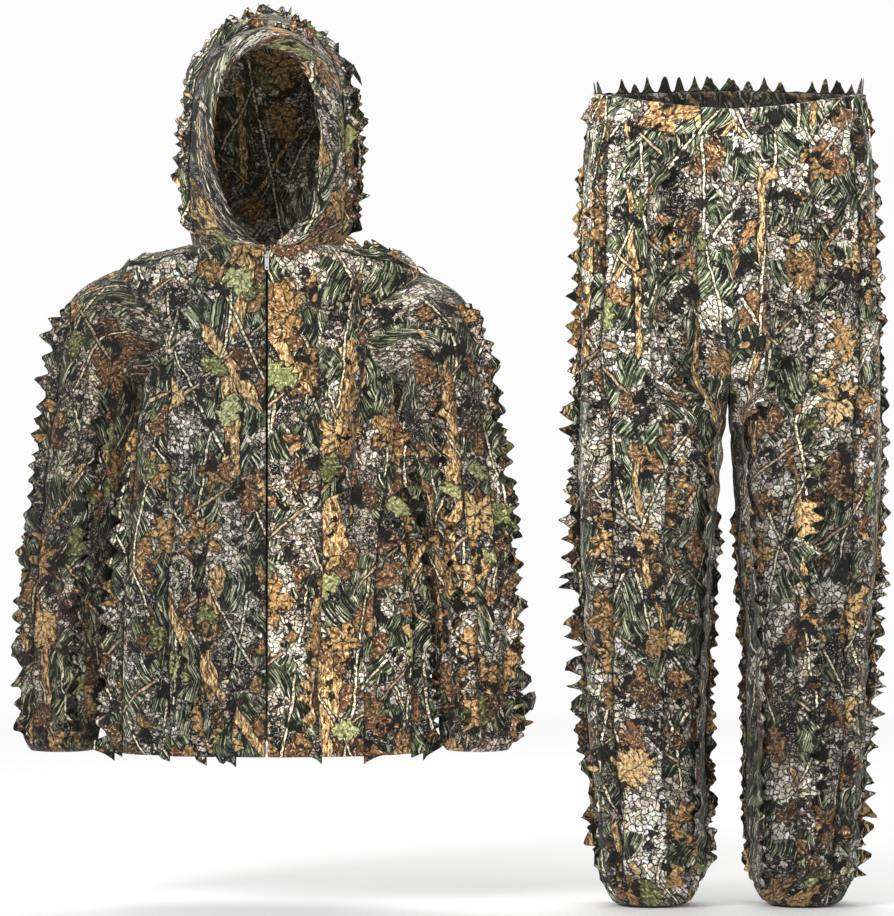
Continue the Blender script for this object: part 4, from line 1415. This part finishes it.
# over the brow, from one temple to the other
for dz, kw in ((33, dict(TEETH, lobe=17, base=6, phi=(50, 88), pitch=30)),):
    pts = []
    for x in np.linspace(-62, 62, 17):
        # the hem's outer edge, a little above it
        z = 1131 + dz - (x / 62) ** 2 * 26
        k = np.abs(HOO.P[..., 0] - JX - x) + np.abs(HOO.P[..., 2] - z) + 1000 * (HOO.P[..., 1] > 10)
        j, i = np.unravel_index(int(np.argmin(k)), k.shape)
        pts.append((i / NH, j / hz_n))
    half_p = [p for p in pts if p[0] < 0.5]
    other = [p for p in pts if p[0] >= 0.5]
    if len(half_p) > 3:
        HS.add(HOO, half_p, 1, **kw)
    if len(other) > 3:
        HS.add(HOO, other, -1, **kw)
ob = HS.build("hood_leaves", (M["strip_j"], M["strip_j"]))
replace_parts(to_hood(ob), "hood_leaf_strip")

# trousers: u 0 and 1 are the middle (or inseam), 0.5 the outer side
for side, label in ((1, "left"), (-1, "right")):
    sh = LEX[side]
    nj = len(sh.P) - 1
    js = int(np.argmax(sh.P[:, NT // 2, 2] < 450))
    vz = lambda z, u: float(np.argmin(np.abs(sh.P[:, int(round(u * NT)), 2] - z))) / nj
    up, lo = Strips(601 + side), Strips(611 + side)
    vo = lambda z: vz(z, 0.5)
    if side > 0:
        grow = [(vo(1070), 0.5), (vo(900), 0.6), (vo(720), 0.55), (vo(560), 0.6), (vo(480), 0.9), (vo(300), 1.1), (vo(200), 1.05), (vo(20), 0.85)]
    else:
        grow = [(vo(1070), 0.5), (vo(900), 0.65), (vo(720), 0.95), (vo(480), 1.1), (vo(260), 1.0), (vo(170), 0.85), (vo(20), 0.75)]
    plan = [
        (0.50, 1070, 1, dict(TEETH, grow=grow, skip=0.12, taper=6, pitch=34, shapes=(0, 1, 2, 2, 3, 4)), 0.0),
        (0.50, 1070, -1, dict(TEETH, base=4, lobe=13, phi=(60, 100), grow=grow, skip=0.3, taper=6), 0.0),
        (0.34, 1048, 1, dict(FLAP, base=14, lobe=25, phi=(10, 50), lift=2.4, grow=[(vo(1060), 0.6), (vo(900), 0.9), (vo(700), 1.0)]), 0.01),
        (0.215, 1005, 1 if side > 0 else -1, dict(FLAP, base=15, lobe=28, phi=(10, 44), lift=2.6), 0.012),
        (0.085, 930, 1, dict(FLAP, lobe=24, base=13, phi=(12, 50), lift=2.2), 0.008),
        (0.66, 1050, -1, dict(FLAP, lobe=20), 0.01),
        (0.79, 1010, 1, dict(FLAP, lobe=20), 0.012),
        (0.91, 1000, -1, dict(FLAP, lobe=20), 0.008),
    ]
    for k, (u, z0, sd, kw, w) in enumerate(plan):
        pu = lambda v: u + w * float(noise3(v * 11.0, k * 1.3 + side, 0.7, 71))
        up.add(sh, [(pu(v), v) for v in np.linspace(vz(z0, u), vz(16, u), 24)], sd, then=(lo, js / nj), **kw)
    inner = dict(TEETH, lobe=11, base=3, pitch=34, phi=(50, 96), skip=0.1) if side > 0 else dict(TEETH, lobe=15, base=4, pitch=36, skip=0.15)
    up.add(sh, [(0.012, v) for v in np.linspace(vz(530, 0.0), vz(30, 0.0), 14)], 1, then=(lo, js / nj), **inner)
    lo.add(sh, [(0.985, v) for v in np.linspace(js / nj, vz(30, 0.0), 10)], -1, **dict(inner, lobe=inner["lobe"] * 0.8))
    ob = up.build("trouser_upper_leaves_" + label, (M["strip_t"], M["strip_t"]))
    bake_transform(ob)
    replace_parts(ob, "hip_leaf_strip_" + label, "thigh_leaf_strip_" + label)
    ob = lo.build("trouser_lower_leaves_" + label, (M["strip_tl"], M["strip_tl"]))
    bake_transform(ob)
    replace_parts(ob, "shin_leaf_strip_" + label)

# points that stand up round the waist edge
rows = []
for drop in (-34, -26, -18, -10, -4, 2, 10, 20):
    z = waist_z(share) - drop
    e = 2 / 2.4
    zz = np.minimum(z, 1084)
    rows.append(np.stack([TX + np.where(np.sin(a := np.linspace(0, 2 * np.pi, NW + 1)) >= 0, 1, -1) * (hip_w(zz) - 0.5) * np.sin(share * np.pi) ** e, -(hip_d(zz) - 0.5) * spow(np.cos(share * np.pi), e), z], axis=1))
WX = Sheet(np.array(rows), wrap=True)
if WX.N[4, NW // 4, 0] < 0:
    WX = Sheet(WX.P, wrap=True, flip=True)
WS = Strips(631)
WS.add(WX, [(u, 4.6 / 7) for u in np.linspace(0.235, 0.765, 24)], -1, **dict(TEETH, base=1.5, lobe=17, pitch=29, phi=(0, 30), lift=0.3, root=0.0, shapes=(5, 5, 2, 5, 3), step=1.5, taper=8, skip=0.12))
ob = WS.build("waist_edge_leaves", (M["strip_t"], M["inside"]))
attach(ob, "trousers")
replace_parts(ob, "waist_leaf_strip")

# ------------------------------------------------------------------ floor, light and camera


def plain(name, color, rough):
    N = Nodes(name)
    tc = N.nt.nodes.new("ShaderNodeTexCoord")
    n = N.noise(tc.outputs["Object"], 3.0, 3.0, 0.5, dims="3D")[0]
    N.put(N.bsdf.inputs["Base Color"], N.mix(n, color, tuple(c * 0.985 for c in color)))
    N.put(N.bsdf.inputs["Roughness"], rough)
    # fades into the backdrop a little way off
    x, y, _ = N.xyz(tc.outputs["Object"])
    r = N.m("SQRT", N.m("ADD", N.m("MULTIPLY", x, x), N.m("MULTIPLY", y, y)))
    glow = N.new("ShaderNodeEmission")
    glow.inputs[1].default_value = 0.97
    blend = N.new("ShaderNodeMixShader")
    N.put(blend.inputs[0], N.step(r, 0.8, 3.2))
    N.put(blend.inputs[1], N.bsdf.outputs[0])
    N.put(blend.inputs[2], glow.outputs[0])
    N.put(N.out.inputs[0], blend.outputs[0])
    return N.mat


bpy.ops.mesh.primitive_plane_add(size=40, location=(0, 0, -0.0015))
floor = bpy.context.object
floor.name = "floor"
floor.data.materials.append(plain("pale_floor", (0.86, 0.86, 0.86), 0.9))

world = bpy.data.worlds.new("studio")
bpy.context.scene.world = world
world.use_nodes = True
wt = world.node_tree
bg = wt.nodes["Background"]
bg.inputs[0].default_value = (1.0, 1.0, 1.0, 1)
ray = wt.nodes.new("ShaderNodeLightPath")
power = wt.nodes.new("ShaderNodeMapRange")
power.inputs[3].default_value = 0.62  # what lights the cloth
power.inputs[4].default_value = 0.97  # what the camera sees behind it
wt.links.new(ray.outputs["Is Camera Ray"], power.inputs[0])
wt.links.new(power.outputs[0], bg.inputs[1])


def area(name, loc, target, size, power):
    li = bpy.data.lights.new(name, "AREA")
    li.shape = "RECTANGLE"
    li.size, li.size_y = size
    li.energy = power
    ob = bpy.data.objects.new(name, li)
    ob.location = loc
    import mathutils
    ob.rotation_euler = (mathutils.Vector(target) - mathutils.Vector(loc)).to_track_quat("-Z", "Y").to_euler()
    bpy.context.scene.collection.objects.link(ob)


area("key", (-2.2, -2.6, 2.6), (0, 0, 0.6), (1.4, 1.4), 110)
area("fill", (2.8, -2.4, 1.2), (0, 0, 0.6), (1.8, 1.8), 30)
area("top", (0.3, 1.6, 3.0), (0, 0, 0.7), (2.4, 1.6), 60)

cam_d = bpy.data.cameras.new("camera")
cam = bpy.data.objects.new("camera", cam_d)
bpy.context.scene.collection.objects.link(cam)
DIST, LIFT = 7.0, 2.0
mid = (-0.0055, 0.0, 0.5945)
cam.location = (mid[0], -DIST * math.cos(math.radians(LIFT)), mid[2] + DIST * math.sin(math.radians(LIFT)))
cam.rotation_euler = (math.radians(90 - LIFT), 0, 0)
cam_d.sensor_fit = "HORIZONTAL"
cam_d.sensor_width = 36.0
cam_d.lens = 36.0 * DIST / 1.189
cam_d.clip_end = 60
bpy.context.scene.camera = cam
bpy.context.scene.view_settings.view_transform = "Standard"

for node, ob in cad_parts.items():
    kind = "tape" if node.startswith("zip_tape") else "nylon" if node.startswith("zip_coil") else "elastic" if ("elastic" in node or node == "hanger_loop") else "metal" if node.startswith("zip_") else "thread"
    ob.data.materials.clear()
    ob.data.materials.append(M[kind])
